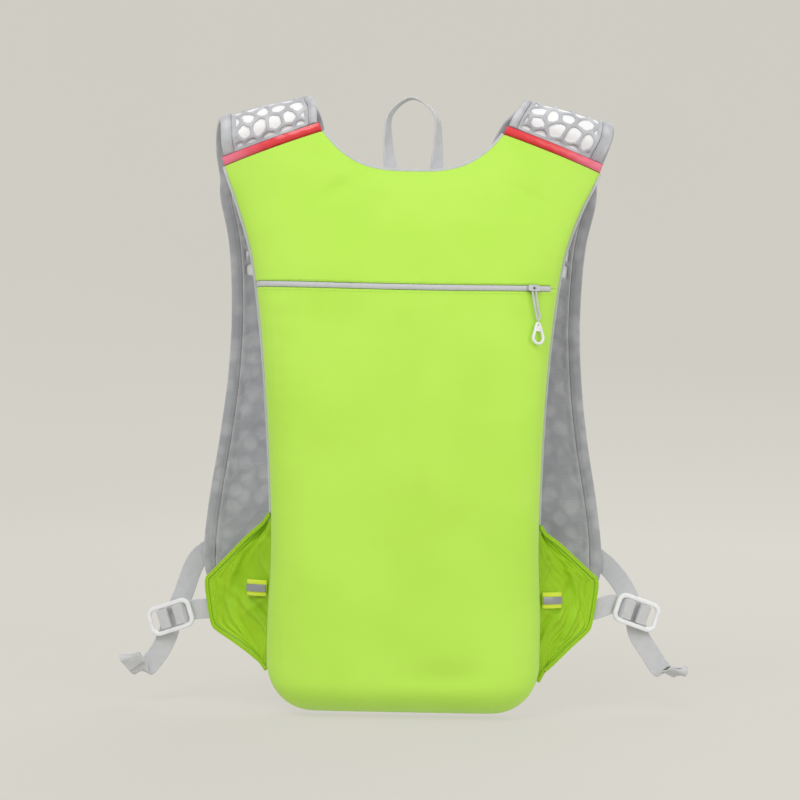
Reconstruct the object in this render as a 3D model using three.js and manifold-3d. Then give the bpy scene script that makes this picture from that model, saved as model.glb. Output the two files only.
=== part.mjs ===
// Running backpack in the form that it has when worn, seen from behind by a viewer who looks along +Y.
// Millimetres, +Z up, +X to the viewer's right. The bag's outer face looks to -Y, the wearer is on the +Y side.
// Heights are measured up from the bag's bottom edge, depths from the seam where cover and back pad meet.
// The last group moves the whole so that the origin is the seat of the straps on the shoulders.
import * as THREE from 'three';
import { mergeGeometries, mergeVertices } from 'three/addons/utils/BufferGeometryUtils.js';
import Module from 'manifold-3d';

const wasm = await Module();
wasm.setup();

// Clearances
const gap = 0.3; // between pieces that are sewn or laid on each other

// Bag
const bag_height = 405; // bottom edge to the outer ends of the shoulder trims
const bag_half_width = 100; // at half height
const left_swell = 4.7; // how much further the left side stands out where the bag is fullest
const bag_depth = 34; // how far the filled cover stands off the seam
const bag_section_power = 5; // 2 is an ellipse, more is boxier
const bottom_corner_radius = 37;
const bottom_roll_radius = 24; // cover rolling back to the pad at the bottom
const cover_wall = 1.2;
const pad_thickness = 8;
const pad_set_back = 0.5; // pad's top edge below the cover's
const flat_half_width = 60; // flat middle of the back pad
const wrap_radius = 120; // sides of the bag bend round the ribs
const lean_start = 325; // above this height the yoke leans over the shoulders
const lean_radius = 260;

// Yoke
const shoulder_half_width = 142;
const neck_half_width = 68;
const neck_height = 400.5;
const neck_power = 3.1; // how square the neckline's curve is
const yoke_inner_height = 430.6; // inner end of the shoulder seam
const edge_roll = 0.8; // share of the yoke's height where its cover starts to close on the pad
const edge_depth = 4; // cover's stand-off at the neckline and the shoulder seams

// Edge tapes and trims
const tape_width = 1.7; // what shows of the tape beyond the cover
const trim_width = 7.5;
const trim_depth = 4.4; // trim's front off the seam

// Cross zip
const zip_height = 314.5;
const zip_sag = 1.2; // how much the zip hangs in its middle
const zip_band_width = 4;
const zip_band_proud = 1;
const zip_band_depth = 1.6; // how far the band reaches inside the cover
const zip_end = 103; // right end of the zip from the middle
const slider_place = 89.6; // slider from the middle
const slider_length = 9;
const slider_width = 4.6;
const slider_thickness = 2;
const pull_cord_length = 25;
const pull_cord_radius = 0.8;
const pull_tab_width = 10.5;
const pull_tab_length = 17;
const pull_tab_thickness = 2;
const pull_tab_hole_radius = 3.1;

// Grab loop
const loop_width = 11;
const loop_thickness = 1.5;
const loop_half_span = 18;
const loop_rise = 56.4; // top of the loop above the neckline

// Shoulder straps
const strap_thickness = 4;
const strap_crest_height = 459;
const strap_reach = 100; // how far the chest side lies in front of the seam
const strap_crown = 2.5; // strap's arch across its width
const outer_hem_width = 9;
const inner_hem_width = 6;
const hem_thickness = 4.8;
const hem_seam = 0.5; // between a hem and the pad that it edges
const harness_shift = -2.5; // the front hangs a little to the viewer's left
const crest_shift = 3; // over the shoulders the straps lie a little to the viewer's right
const cell_pitch = 17;
const cell_radius = 6.6;
const cell_border = 3; // solid strap between the cells and the hems
const pierced_height = 325; // in front the cells are cut through down to here

// Waist wings
const wing_top = 139;
const wing_height = 111;
const wing_reach = 55.5; // from the bag's side to the tip, hem included
const wing_reach_sway = 2.5; // more on the left, less on the right
const wing_angle = 30; // degrees that the wing turns forward
const wing_thickness = 2;
const wing_hem_width = 3.6;
const wing_hem_thickness = 2.8;
const wing_fold_depth = 1.6;
const wing_fold_count = 5;
const wing_sway = 2.6; // the left wing is this much higher beside the bag and lower at its tip, the right one not
const sway_angle = 1.65; // degrees that the line through the buckles is askew of the bag

// Reflective tabs on the wings
const tab_length = 17;
const tab_width = 12;
const tab_thickness = 1.2;
const tab_height = 86;
const tab_stripe_width = 5.5;
const tab_stripe_thickness = 0.5;

// Webbing and ladder-lock buckles
const webbing_width = 15;
const webbing_thickness = 1.4;
const buckle_length = 36.5;
const buckle_width = 23;
const buckle_thickness = 3.5;
const buckle_rim = 3.4;
const buckle_corner_radius = 7;
const buckle_bar_width = 5;
const buckle_bar_thickness = 1.6;
const buckle_tilt = 19; // degrees that its outer end hangs down
const buckle_stand_off = 21.7; // from the wing's tip out to the buckle's middle
const buckle_depth = 46; // buckle's middle in front of the seam
const buckle_height = 67.3;

// Half width of the bag at a height, as shares of bag_half_width and bag_height
const side_outline = [
  { height: 0.09, half_width: 1.006 },
  { height: 0.17, half_width: 1.006 },
  { height: 0.31, half_width: 0.984 },
  { height: 0.5, half_width: 0.999 },
  { height: 0.64, half_width: 1.032 },
  { height: 0.75, half_width: 1.08 },
  { height: 0.825, half_width: 1.128 },
  { height: 0.862, half_width: 1.169 },
  { height: 0.898, half_width: 1.221 },
  { height: 0.935, half_width: 1.287 },
  { height: 0.971, half_width: 1.361 },
  { height: 1, half_width: shoulder_half_width / bag_half_width },
];

// Share of left_swell at a height, a share of bag_height
const swell_profile = [
  { height: 0.25, swell: 0 },
  { height: 0.345, swell: 0.21 },
  { height: 0.457, swell: 0.5 },
  { height: 0.6, swell: 0.85 },
  { height: 0.75, swell: 1 },
  { height: 0.89, swell: 0.95 },
  { height: 0.95, swell: 0.5 },
  { height: 1, swell: 0 },
];

// Stand-off of the cover at a height, as a share of bag_depth
const depth_profile = [
  { height: 0, depth: 0.96 },
  { height: 0.3, depth: 1 },
  { height: 0.5, depth: 0.94 },
  { height: 0.65, depth: 0.8 },
  { height: 0.78, depth: 0.62 },
  { height: 0.87, depth: 0.42 },
  { height: 0.95, depth: 0.28 },
  { height: 1.08, depth: 0.2 },
];

// Shallow folds of the cover: a dent's middle, its direction in degrees, its half length, half width and depth.
// Heights are shares of bag_height, depths of bag_depth, the rest of bag_half_width.
const cover_folds = [
  { x: -0.52, height: 0.956, turn: 32, half_length: 0.26, half_width: 0.1, depth: 0.059 },
  { x: 0.89, height: 0.943, turn: -28, half_length: 0.3, half_width: 0.1, depth: 0.044 },
  { x: -0.7, height: 0.731, turn: 80, half_length: 0.3, half_width: 0.12, depth: 0.035 },
  { x: 0.3, height: 0.074, turn: 4, half_length: 0.4, half_width: 0.12, depth: 0.044 },
];

// Sections across a strap from the shoulder seam over the shoulder and down the chest.
// Heights are shares of strap_crest_height, half spans of shoulder_half_width, depths of strap_reach.
const strap_sections = [
  { inner: 0.53, outer: 1.042, inner_height: 0.98, outer_height: 0.932, inner_depth: 0.33, outer_depth: 0.46 },
  { inner: 0.566, outer: 1.06, inner_height: 1, outer_height: 0.962, inner_depth: 0.47, outer_depth: 0.57 },
  { inner: 0.543, outer: 1.078, inner_height: 0.991, outer_height: 0.954, inner_depth: 0.61, outer_depth: 0.68 },
  { inner: 0.489, outer: 1.07, inner_height: 0.969, outer_height: 0.924, inner_depth: 0.76, outer_depth: 0.81 },
  { inner: 0.437, outer: 1.04, inner_height: 0.924, outer_height: 0.88, inner_depth: 0.89, outer_depth: 0.91 },
  { inner: 0.394, outer: 1.035, inner_height: 0.854, outer_height: 0.839, inner_depth: 0.97, outer_depth: 0.97 },
  { inner: 0.394, outer: 0.985, inner_height: 0.763, outer_height: 0.763, inner_depth: 1, outer_depth: 1 },
  { inner: 0.408, outer: 0.963, inner_height: 0.654, outer_height: 0.654, inner_depth: 0.99, outer_depth: 0.99 },
  { inner: 0.437, outer: 0.972, inner_height: 0.545, outer_height: 0.545, inner_depth: 0.94, outer_depth: 0.94 },
  { inner: 0.472, outer: 1.008, inner_height: 0.436, outer_height: 0.436, inner_depth: 0.86, outer_depth: 0.86 },
  { inner: 0.528, outer: 1.059, inner_height: 0.327, outer_height: 0.327, inner_depth: 0.78, outer_depth: 0.78 },
  { inner: 0.585, outer: 1.083, inner_height: 0.244, outer_height: 0.24, inner_depth: 0.73, outer_depth: 0.73 },
  { inner: 0.65, outer: 1.055, inner_height: 0.2, outer_height: 0.196, inner_depth: 0.71, outer_depth: 0.71 },
  { inner: 0.76, outer: 0.98, inner_height: 0.176, outer_height: 0.174, inner_depth: 0.7, outer_depth: 0.7 },
];

// Outer edge of a wing from its foot to its top: reach as a share of wing_reach, heights of wing_height
const wing_outline = [
  { seam_height: 0, reach: 0.15, edge_height: 0.055 },
  { seam_height: 0.12, reach: 0.34, edge_height: 0.125 },
  { seam_height: 0.24, reach: 0.6, edge_height: 0.21 },
  { seam_height: 0.36, reach: 0.8, edge_height: 0.27 },
  { seam_height: 0.44, reach: 0.88, edge_height: 0.31 },
  { seam_height: 0.52, reach: 0.95, edge_height: 0.44 },
  { seam_height: 0.6, reach: 1, edge_height: 0.585 },
  { seam_height: 0.67, reach: 0.93, edge_height: 0.63 },
  { seam_height: 0.77, reach: 0.7, edge_height: 0.73 },
  { seam_height: 0.88, reach: 0.4, edge_height: 0.858 },
  { seam_height: 1, reach: 0.15, edge_height: 0.945 },
];
const webbing_row = { seam_height: 0.5, reach: 0.93, edge_height: 0.4 }; // where a webbing leaves the edge

// Tail of the side webbing below a buckle: offsets from the buckle's middle in webbing widths
const tail_route = {
  left: [
    { out: 0.3, down: 1, back: 0, lean: 24 },
    { out: 0.69, down: 1.8, back: -0.05, lean: 32 },
    { out: 1.3, down: 2.6, back: -0.2, lean: 20 },
    { out: 1.5, down: 2.72, back: -0.42, lean: 5 },
    { out: 2.09, down: 1.95, back: -0.7, lean: 0 },
  ],
  right: [
    { out: 0.26, down: 1.13, back: 0, lean: 20 },
    { out: 0.81, down: 1.98, back: -0.05, lean: 32 },
    { out: 1.4, down: 2.85, back: -0.2, lean: 20 },
    { out: 1.65, down: 2.98, back: -0.42, lean: 5 },
    { out: 2.17, down: 2.72, back: -0.85, lean: 0 },
  ],
};

const sides = [
  { name: 'left', sign: -1 },
  { name: 'right', sign: 1 },
];

const material_of = {
  lime_nylon: new THREE.MeshStandardMaterial({ color: 0xbdef5b, roughness: 0.7, metalness: 0 }),
  wing_nylon: new THREE.MeshStandardMaterial({ color: 0xa0d21e, roughness: 0.5, metalness: 0 }),
  grey_mesh: new THREE.MeshStandardMaterial({ color: 0xa9abae, roughness: 0.85, metalness: 0 }),
  grey_tape: new THREE.MeshStandardMaterial({ color: 0xb9bbbe, roughness: 0.75, metalness: 0 }),
  red_trim: new THREE.MeshStandardMaterial({ color: 0xd82a3a, roughness: 0.35, metalness: 0 }),
  webbing: new THREE.MeshStandardMaterial({ color: 0xc6c7ca, roughness: 0.8, metalness: 0 }),
  pale_plastic: new THREE.MeshStandardMaterial({ color: 0xdfe0e4, roughness: 0.35, metalness: 0 }),
  slider_metal: new THREE.MeshStandardMaterial({ color: 0x6d7076, roughness: 0.4, metalness: 0.6 }),
  reflective: new THREE.MeshStandardMaterial({ color: 0x9a9ca2, roughness: 0.3, metalness: 0.2 }),
  fluo_tape: new THREE.MeshStandardMaterial({ color: 0xe4f23c, roughness: 0.6, metalness: 0 }),
};

const clamp = THREE.MathUtils.clamp;
const lerp = THREE.MathUtils.lerp;
const radians = THREE.MathUtils.degToRad;
const smoothstep = THREE.MathUtils.smoothstep;
const vector = (x, y, z) => new THREE.Vector3(x, y, z);

// Value of a table's column at a place along its key, on a smooth curve through the rows
function table_value(rows, key, column, at) {
  const last = rows.length - 1;
  const place = clamp(at, rows[0][key], rows[last][key]);
  let row = 0;
  while (row < last - 1 && rows[row + 1][key] < place) {
    row += 1;
  }
  const slope = (from, to) => (rows[to][column] - rows[from][column]) / (rows[to][key] - rows[from][key]);
  const span = rows[row + 1][key] - rows[row][key];
  const share = (place - rows[row][key]) / span;
  const start_slope = slope(Math.max(row - 1, 0), row + 1) * span;
  const end_slope = slope(row, Math.min(row + 2, last)) * span;
  const from = rows[row][column];
  const to = rows[row + 1][column];
  const square = share * share;
  const cube = square * share;
  return (2 * cube - 3 * square + 1) * from + (cube - 2 * square + share) * start_slope
    + (3 * square - 2 * cube) * to + (cube - square) * end_slope;
}

// Evenly spaced shares from 0 to 1
const shares = (steps) => Array.from({ length: steps + 1 }, (_, i) => i / steps);

// Closed mesh from points and triangles, turned so that its faces look outwards
function closed_mesh(points, triangles) {
  const volume = triangles.reduce((sum, [a, b, c]) => {
    const cross = points[b].clone().cross(points[c]);
    return sum + points[a].dot(cross);
  }, 0);
  const turned = volume > 0 ? triangles : triangles.map(([a, b, c]) => [a, c, b]);
  const geometry = new THREE.BufferGeometry();
  geometry.setAttribute('position', new THREE.Float32BufferAttribute(points.flatMap((p) => p.toArray()), 3));
  geometry.setIndex(turned.flat());
  return geometry;
}

// Sheet of cloth with thickness: place(column, row, face) gives a point of face 0, outside, or 1, inside
function sheet(place, columns, rows) {
  const points = [];
  const triangles = [];
  const number = (i, j, face) => (face * (columns.length) + i) * rows.length + j;
  for (const face of [0, 1]) {
    for (const column of columns) {
      for (const row of rows) {
        points.push(place(column, row, face));
      }
    }
  }
  const quad = (a, b, c, d) => triangles.push([a, b, c], [a, c, d]);
  const last_i = columns.length - 1;
  const last_j = rows.length - 1;
  for (let i = 0; i < last_i; i += 1) {
    for (let j = 0; j < last_j; j += 1) {
      quad(number(i, j, 0), number(i + 1, j, 0), number(i + 1, j + 1, 0), number(i, j + 1, 0));
      quad(number(i, j, 1), number(i, j + 1, 1), number(i + 1, j + 1, 1), number(i + 1, j, 1));
    }
  }
  for (let i = 0; i < last_i; i += 1) {
    quad(number(i, 0, 0), number(i, 0, 1), number(i + 1, 0, 1), number(i + 1, 0, 0));
    quad(number(i, last_j, 0), number(i + 1, last_j, 0), number(i + 1, last_j, 1), number(i, last_j, 1));
  }
  for (let j = 0; j < last_j; j += 1) {
    quad(number(0, j, 0), number(0, j + 1, 0), number(0, j + 1, 1), number(0, j, 1));
    quad(number(last_i, j, 0), number(last_i, j, 1), number(last_i, j + 1, 1), number(last_i, j + 1, 0));
  }
  return closed_mesh(points, triangles);
}

// Strip with a convex section: place(step, a, b) sets the section's corner (a, b) at a step
function strip(place, section, steps) {
  const points = steps.flatMap((step) => section.map(([a, b]) => place(step, a, b)));
  const count = section.length;
  const triangles = [];
  for (let j = 0; j < steps.length - 1; j += 1) {
    for (let k = 0; k < count; k += 1) {
      const next = (k + 1) % count;
      const [a, b] = [j * count + k, j * count + next];
      triangles.push([a, b, b + count], [a, b + count, a + count]);
    }
  }
  const last = (steps.length - 1) * count;
  for (let k = 1; k < count - 1; k += 1) {
    triangles.push([0, k + 1, k], [last, last + k, last + k + 1]);
  }
  return closed_mesh(points, triangles);
}

// Strip section as wide and as thick as given
const flat_section = (width, thickness) => [
  [-width / 2, -thickness / 2],
  [width / 2, -thickness / 2],
  [width / 2, thickness / 2],
  [-width / 2, thickness / 2],
];

// Solid for a cut, from any closed geometry
function solid_of(geometry) {
  const bare = geometry.clone();
  bare.deleteAttribute('normal');
  bare.deleteAttribute('uv');
  const merged = mergeVertices(bare);
  return new wasm.Manifold(new wasm.Mesh({
    numProp: 3,
    vertProperties: new Float32Array(merged.attributes.position.array),
    triVerts: new Uint32Array(merged.index.array),
  }));
}

function geometry_of(solid) {
  const mesh = solid.getMesh();
  const geometry = new THREE.BufferGeometry();
  geometry.setAttribute('position', new THREE.Float32BufferAttribute(mesh.vertProperties, 3));
  geometry.setIndex(Array.from(mesh.triVerts));
  return geometry;
}

const bag = new THREE.Group();

function add(name, geometry, material) {
  const mesh = new THREE.Mesh(geometry, material_of[material]);
  mesh.name = name;
  bag.add(mesh);
}

// Half width of the bag at a height, on the left for a side below 0, with round bottom corners
function half_width(height, side) {
  const even = bag_half_width * table_value(side_outline, 'height', 'half_width', height / bag_height);
  const swell = side < 0 ? left_swell * table_value(swell_profile, 'height', 'swell', height / bag_height) : 0;
  const wide = even + swell;
  const below = Math.max(bottom_corner_radius - height, 0);
  return wide - bottom_corner_radius + Math.sqrt(bottom_corner_radius ** 2 - below ** 2);
}

// Depth of the seam surface: flat in the middle, bent round the ribs, leaning over the shoulders
function seam_depth(x, height) {
  const wrap = Math.max(Math.abs(x) - flat_half_width, 0) ** 2 / (2 * wrap_radius);
  const lean = Math.max(height - lean_start, 0) ** 2 / (2 * lean_radius);
  return wrap + lean;
}

// Dent of the cover at a place on it
function fold_dent(x, height) {
  return cover_folds.reduce((sum, fold) => {
    const turn = radians(fold.turn);
    const [dx, dz] = [x - fold.x * bag_half_width, height - fold.height * bag_height];
    const along = (dx * Math.cos(turn) + dz * Math.sin(turn)) / (fold.half_length * bag_half_width);
    const across = (dz * Math.cos(turn) - dx * Math.sin(turn)) / (fold.half_width * bag_half_width);
    return sum + fold.depth * bag_depth * Math.exp(-2 * (along * along + across * across));
  }, 0);
}

// Stand-off of the cover in the middle of a height
function cover_stand(height, closing) {
  const full = bag_depth * table_value(depth_profile, 'height', 'depth', height / bag_height);
  const below = 1 - Math.min(height / bottom_roll_radius, 1);
  return lerp(full, edge_depth, closing) * Math.sqrt(1 - below * below);
}

// Point of the cover's outer face at a share of the half width and a height
function cover_point(share, height, closing = 0) {
  const x = share * half_width(height, share);
  const bulge = (1 - Math.min(Math.abs(share), 1) ** bag_section_power) ** (1 / bag_section_power);
  const stand = Math.max(cover_stand(height, closing) - fold_dent(x, height), 0) * bulge;
  return vector(x, seam_depth(x, height) - gap - stand, height);
}

// Outward direction of the cover at a place
function cover_normal(share, height, closing = 0) {
  const step = 0.004;
  const low = Math.max(height - 1, 0);
  const side = cover_point(Math.min(share + step, 1), height, closing)
    .sub(cover_point(Math.max(share - step, -1), height, closing));
  const rise = cover_point(share, height + 1, closing).sub(cover_point(share, low, closing));
  return side.cross(rise).normalize();
}

// Columns of the cover, close together where it bends into its sides
const side_columns = [1, 0.9985, 0.99, 0.955, 0.88, 0.76, 0.6, 0.4, 0.2];
const zip_share = zip_end / half_width(zip_height, 1);
const zip_close_share = zip_share + (gap + 0.5) / bag_half_width;
const mirror_shares = (list) => [...list.map((u) => -u), 0, ...list.slice().reverse()];
const lower_columns = [...mirror_shares(side_columns), zip_share, zip_close_share].sort((a, b) => a - b);

// Height of the zip's middle at a share of the half width
const zip_line = (share) => zip_height - zip_sag * (1 - share * share);

// Half height of the opening that the zip band fills; past the zip's end the covers meet
function zip_lip(share) {
  return share <= zip_share ? zip_band_width / 2 + gap : gap / 2;
}

// Inner face of a cover behind a point of its outer face: the wall is taken off the front and off the sides
function cover_lining(share, outer) {
  const x = outer.x - Math.sign(share) * cover_wall * Math.abs(share) ** bag_section_power;
  const stand = Math.max(seam_depth(outer.x, outer.z) - gap - outer.y - cover_wall, 0);
  return vector(x, seam_depth(x, outer.z) - gap - stand, outer.z);
}

// Heights of the cover's rows below the zip as shares: the bottom rolls in, then even steps
const roll_rows = [0, 0.012, 0.035, 0.07, 0.12];
const lower_rows = [...roll_rows, 0.25, 0.4, 0.55, 0.7, 0.85, 1];

function pack_cover() {
  const place = (share, row, face) => {
    const height = row * (zip_line(share) - zip_lip(share));
    const outer = cover_point(share, height);
    if (face === 0) {
      return outer;
    }
    const lift = cover_wall * Math.max(1 - height / bottom_roll_radius, 0);
    return cover_lining(share, outer).add(vector(0, 0, lift));
  };
  return sheet(place, lower_columns, lower_rows);
}

// Top edge of the yoke at a share of the half width: round neckline, then the straight shoulder seams
const neck_share = neck_half_width / shoulder_half_width;
function yoke_top(share) {
  const beyond = Math.abs(share);
  if (beyond <= neck_share) {
    return lerp(neck_height, yoke_inner_height, (beyond / neck_share) ** neck_power);
  }
  return lerp(yoke_inner_height, bag_height, (beyond - neck_share) / (1 - neck_share));
}

const yoke_columns = [
  ...mirror_shares([1, 0.9985, 0.99, 0.955, 0.88, 0.76, 0.62, neck_share, 0.42, 0.35, 0.25, 0.12]),
  zip_share,
  zip_close_share,
].sort((a, b) => a - b);
const yoke_rows = [0, 0.2, 0.4, 0.6, 0.8, 0.93, 1];

function yoke_cover() {
  const place = (share, row, face) => {
    const height = lerp(zip_line(share) + zip_lip(share), yoke_top(share), row);
    const closing = smoothstep(row, edge_roll, 1);
    const outer = cover_point(share, height, closing);
    if (face === 0) {
      return outer;
    }
    return cover_lining(share, outer);
  };
  return sheet(place, yoke_columns, yoke_rows);
}

// Back pad of spacer mesh: from the bottom edge to the neckline and the shoulder seams
function back_pad() {
  const pad_columns = mirror_shares([1, 0.955, 0.85, 0.7, neck_share, 0.42, 0.34, 0.25, 0.13]);
  const heights = [...lower_rows.map((row) => row * zip_height), ...yoke_rows.slice(1).map((row) => -row)];
  const place = (share, row, face) => {
    const height = row >= 0 ? row : lerp(zip_height, yoke_top(share) - pad_set_back, -row);
    const x = share * half_width(height, share);
    return vector(x, seam_depth(x, height) + face * pad_thickness, height);
  };
  return sheet(place, pad_columns, heights);
}

// Tape round the neckline, over the edges of the cover and the pad
function neck_binding() {
  const steps = yoke_columns.filter((share) => Math.abs(share) <= neck_share);
  const place = (share, rise, depth) => {
    const step = 0.01;
    const slope = (yoke_top(share + step) - yoke_top(share - step)) / (2 * step * shoulder_half_width);
    const limited = Math.abs(share) < neck_share ? slope : 0.6 * Math.sign(share);
    const normal = vector(-limited, 0, 1).normalize();
    const height = yoke_top(share);
    const x = share * half_width(height, share);
    return vector(x + normal.x * rise, seam_depth(x, height) + depth, height + normal.z * rise);
  };
  const section = [
    [gap, -edge_depth],
    [gap + tape_width, -edge_depth + 1],
    [gap + tape_width, pad_thickness - 1],
    [gap, pad_thickness],
  ];
  return strip(place, section, steps);
}

// Tape round an armhole, from the top of the wing to the shoulder seam
function armhole_binding(sign) {
  const start = wing_top - sign * wing_sway + gap + 3;
  const lower = lower_rows.map((row) => row * zip_height).filter((height) => height > start + 8);
  const upper = yoke_rows.slice(1).map((row) => lerp(zip_height, bag_height, row));
  const steps = [start, ...lower, ...upper];
  const place = (height, out, depth) => {
    const wide = half_width(height, sign);
    const slope = (half_width(height + 1, sign) - half_width(height - 1, sign)) / 2;
    const normal = vector(1, 0, -Math.min(slope, 0.5)).normalize();
    const x = wide + normal.x * out;
    return vector(sign * x, seam_depth(wide, height) + depth, height + normal.z * out);
  };
  const section = [
    [gap, -1.5],
    [gap + tape_width, -0.6],
    [gap + tape_width, pad_thickness - 1],
    [gap, pad_thickness],
  ];
  return strip(place, section, steps);
}

// Pale cover strip of the zip, sunk into the slot between the two covers
function zip_band() {
  const steps = lower_columns.filter((share) => share < zip_share - 0.02 && share > -0.995);
  steps.push(zip_share - (gap + cover_wall) / bag_half_width);
  const place = (share, rise, depth) => {
    const on_cover = cover_point(share, zip_line(share));
    return vector(on_cover.x, on_cover.y + depth, zip_line(share) + rise);
  };
  const half = zip_band_width / 2;
  const section = [
    [-half, zip_band_depth],
    [-half, 0],
    [-half * 0.5, -zip_band_proud],
    [half * 0.5, -zip_band_proud],
    [half, 0],
    [half, zip_band_depth],
  ];
  return strip(place, section, steps);
}

// Frame that lies on the cover at a place, lifted off it: x to the right, y away from the wearer, z up
function frame_on_cover(x, height, lift) {
  const share = x / half_width(height, x);
  const normal = cover_normal(share, height);
  const up = vector(0, 0, 1).addScaledVector(normal, -normal.z).normalize();
  const right = up.clone().cross(normal).normalize();
  const base = cover_point(share, height).addScaledVector(normal, lift);
  return new THREE.Matrix4().makeBasis(right, up, normal).setPosition(base);
}

function rounded_shape(width, length, radius) {
  const shape = new THREE.Shape();
  const [w, l] = [width / 2, length / 2];
  shape.moveTo(-w + radius, -l);
  shape.lineTo(w - radius, -l);
  shape.absarc(w - radius, -l + radius, radius, -Math.PI / 2, 0);
  shape.lineTo(w, l - radius);
  shape.absarc(w - radius, l - radius, radius, 0, Math.PI / 2);
  shape.lineTo(-w + radius, l);
  shape.absarc(-w + radius, l - radius, radius, Math.PI / 2, Math.PI);
  shape.lineTo(-w, -l + radius);
  shape.absarc(-w + radius, -l + radius, radius, Math.PI, 1.5 * Math.PI);
  return shape;
}

// Slider of the zip with the eye that the cord goes through
const slider_lift = zip_band_proud + gap;
const slider_eye_drop = slider_width / 2 - 1.5;
const slider_share = slider_place / half_width(zip_height, 1);
function zip_slider() {
  const shape = rounded_shape(slider_length, slider_width, 1.6);
  const eye = new THREE.Path();
  eye.absarc(0, -slider_eye_drop + 0.6, pull_cord_radius + gap, 0, 2 * Math.PI, true);
  shape.holes.push(eye);
  const geometry = new THREE.ExtrudeGeometry(shape, {
    depth: slider_thickness, bevelEnabled: false, curveSegments: 3,
  });
  geometry.applyMatrix4(frame_on_cover(slider_place, zip_line(slider_share), slider_lift));
  return geometry;
}

// Tab at the end of the cord: a rounded triangle with a finger hole
const tab_lift = 2.2;
const tab_middle_height = zip_height - pull_cord_length - pull_tab_length / 2;
const tab_place = slider_place + 3;
function zip_pull_tab() {
  const shape = new THREE.Shape();
  const wide = pull_tab_width / 2;
  const low = -pull_tab_length / 2;
  const bottom_radius = wide;
  const top_radius = 2.4;
  shape.absarc(0, low + bottom_radius, bottom_radius, Math.PI, 2 * Math.PI);
  shape.lineTo(top_radius, -low - top_radius);
  shape.absarc(0, -low - top_radius, top_radius, 0, Math.PI);
  shape.closePath();
  const hole = new THREE.Path();
  hole.absarc(0, low + bottom_radius, pull_tab_hole_radius, 0, 2 * Math.PI, true);
  const eye = new THREE.Path();
  eye.absarc(0, -low - top_radius, pull_cord_radius + gap, 0, 2 * Math.PI, true);
  shape.holes.push(hole, eye);
  const geometry = new THREE.ExtrudeGeometry(shape, {
    depth: pull_tab_thickness, bevelEnabled: false, curveSegments: 5,
  });
  geometry.applyMatrix4(frame_on_cover(tab_place, tab_middle_height, tab_lift));
  return geometry;
}

// Doubled cord from the slider to the tab, a narrow U whose legs part a little at the slider
function zip_pull_cord() {
  const top = zip_line(slider_share) - slider_width / 2 - gap;
  const bottom = tab_middle_height + pull_tab_length / 2 + gap + pull_cord_radius;
  const spread = 1.2;
  const lift = tab_lift + pull_tab_thickness / 2;
  const on_cover = (x, height) => vector(0, 0, 0).applyMatrix4(frame_on_cover(x, height, lift));
  const middle = (slider_place + tab_place) / 2;
  const mid_height = (top + bottom) / 2;
  const curve = new THREE.CatmullRomCurve3([
    on_cover(slider_place - spread, top),
    on_cover(middle - spread * 0.9, mid_height),
    on_cover(tab_place - spread * 0.8, bottom + 2),
    on_cover(tab_place, bottom),
    on_cover(tab_place + spread * 0.8, bottom + 2),
    on_cover(middle + spread * 0.9, mid_height),
    on_cover(slider_place + spread, top),
  ]);
  const section = new THREE.Shape();
  section.absarc(0, 0, pull_cord_radius, 0, 2 * Math.PI);
  return new THREE.ExtrudeGeometry(section, { steps: 16, curveSegments: 2, bevelEnabled: false, extrudePath: curve });
}

// Frame along a band: the band's middle line and the direction of its width give the section's place
function band(line, width_direction, section, step_count) {
  const place = (s, across, through) => {
    const step = 0.002;
    const ahead = line(Math.min(s + step, 1));
    const behind = line(Math.max(s - step, 0));
    const along = ahead.sub(behind).normalize();
    const wanted = width_direction(s);
    const normal = along.clone().cross(wanted).normalize();
    const wide = normal.clone().cross(along).normalize();
    return line(s).addScaledVector(wide, across).addScaledVector(normal, through);
  };
  return strip(place, section, shares(step_count));
}

// Webbing loop at the neckline: its foot faces the viewer, its top is turned edge-on
function grab_loop() {
  const foot = yoke_top((loop_half_span + loop_width) / shoulder_half_width) + tape_width + 2 * gap;
  const depth = seam_depth(0, neck_height) + pad_thickness / 2;
  const top = neck_height + loop_rise;
  const curve = new THREE.CatmullRomCurve3([
    vector(-loop_half_span + 2.5, depth, foot + 0.4),
    vector(-loop_half_span - 0.5, depth, lerp(foot, top, 0.35)),
    vector(-loop_half_span + 1, depth, lerp(foot, top, 0.75)),
    vector(-1.3, depth, top - loop_thickness / 2),
    vector(loop_half_span - 1.5, depth, lerp(foot, top, 0.75)),
    vector(loop_half_span + 0.8, depth, lerp(foot, top, 0.35)),
    vector(loop_half_span - 0.3, depth, foot + 0.4),
  ]);
  const turned = (s) => {
    const turn = radians(lerp(15, 80, Math.sin(Math.PI * s) ** 0.7));
    return vector(Math.cos(turn), Math.sin(turn), 0);
  };
  return band((s) => curve.getPoint(s), turned, flat_section(loop_width, loop_thickness), 24);
}

// Shoulder seam of the yoke, from the neckline out, and its upward direction
const seam_run = vector(shoulder_half_width - neck_half_width, 0, bag_height - yoke_inner_height);
const seam_up = vector(-seam_run.z, 0, seam_run.x).normalize();
function seam_place(share, rise) {
  return vector(neck_half_width, 0, yoke_inner_height).addScaledVector(seam_run, share)
    .addScaledVector(seam_up, rise);
}

// Folded trim over the seam between yoke and strap
function yoke_trim(sign) {
  const place = (share, rise, depth) => {
    const at = seam_place(share, rise);
    return vector(sign * at.x, seam_depth(at.x, at.z) + depth, at.z);
  };
  const section = [
    [gap, pad_thickness],
    [gap, -trim_depth + 1.2],
    [gap + 1.2, -trim_depth],
    [trim_width - 1.2, -trim_depth],
    [trim_width, -trim_depth + 1.2],
    [trim_width, pad_thickness],
  ];
  return strip(place, section, shares(8));
}

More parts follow.
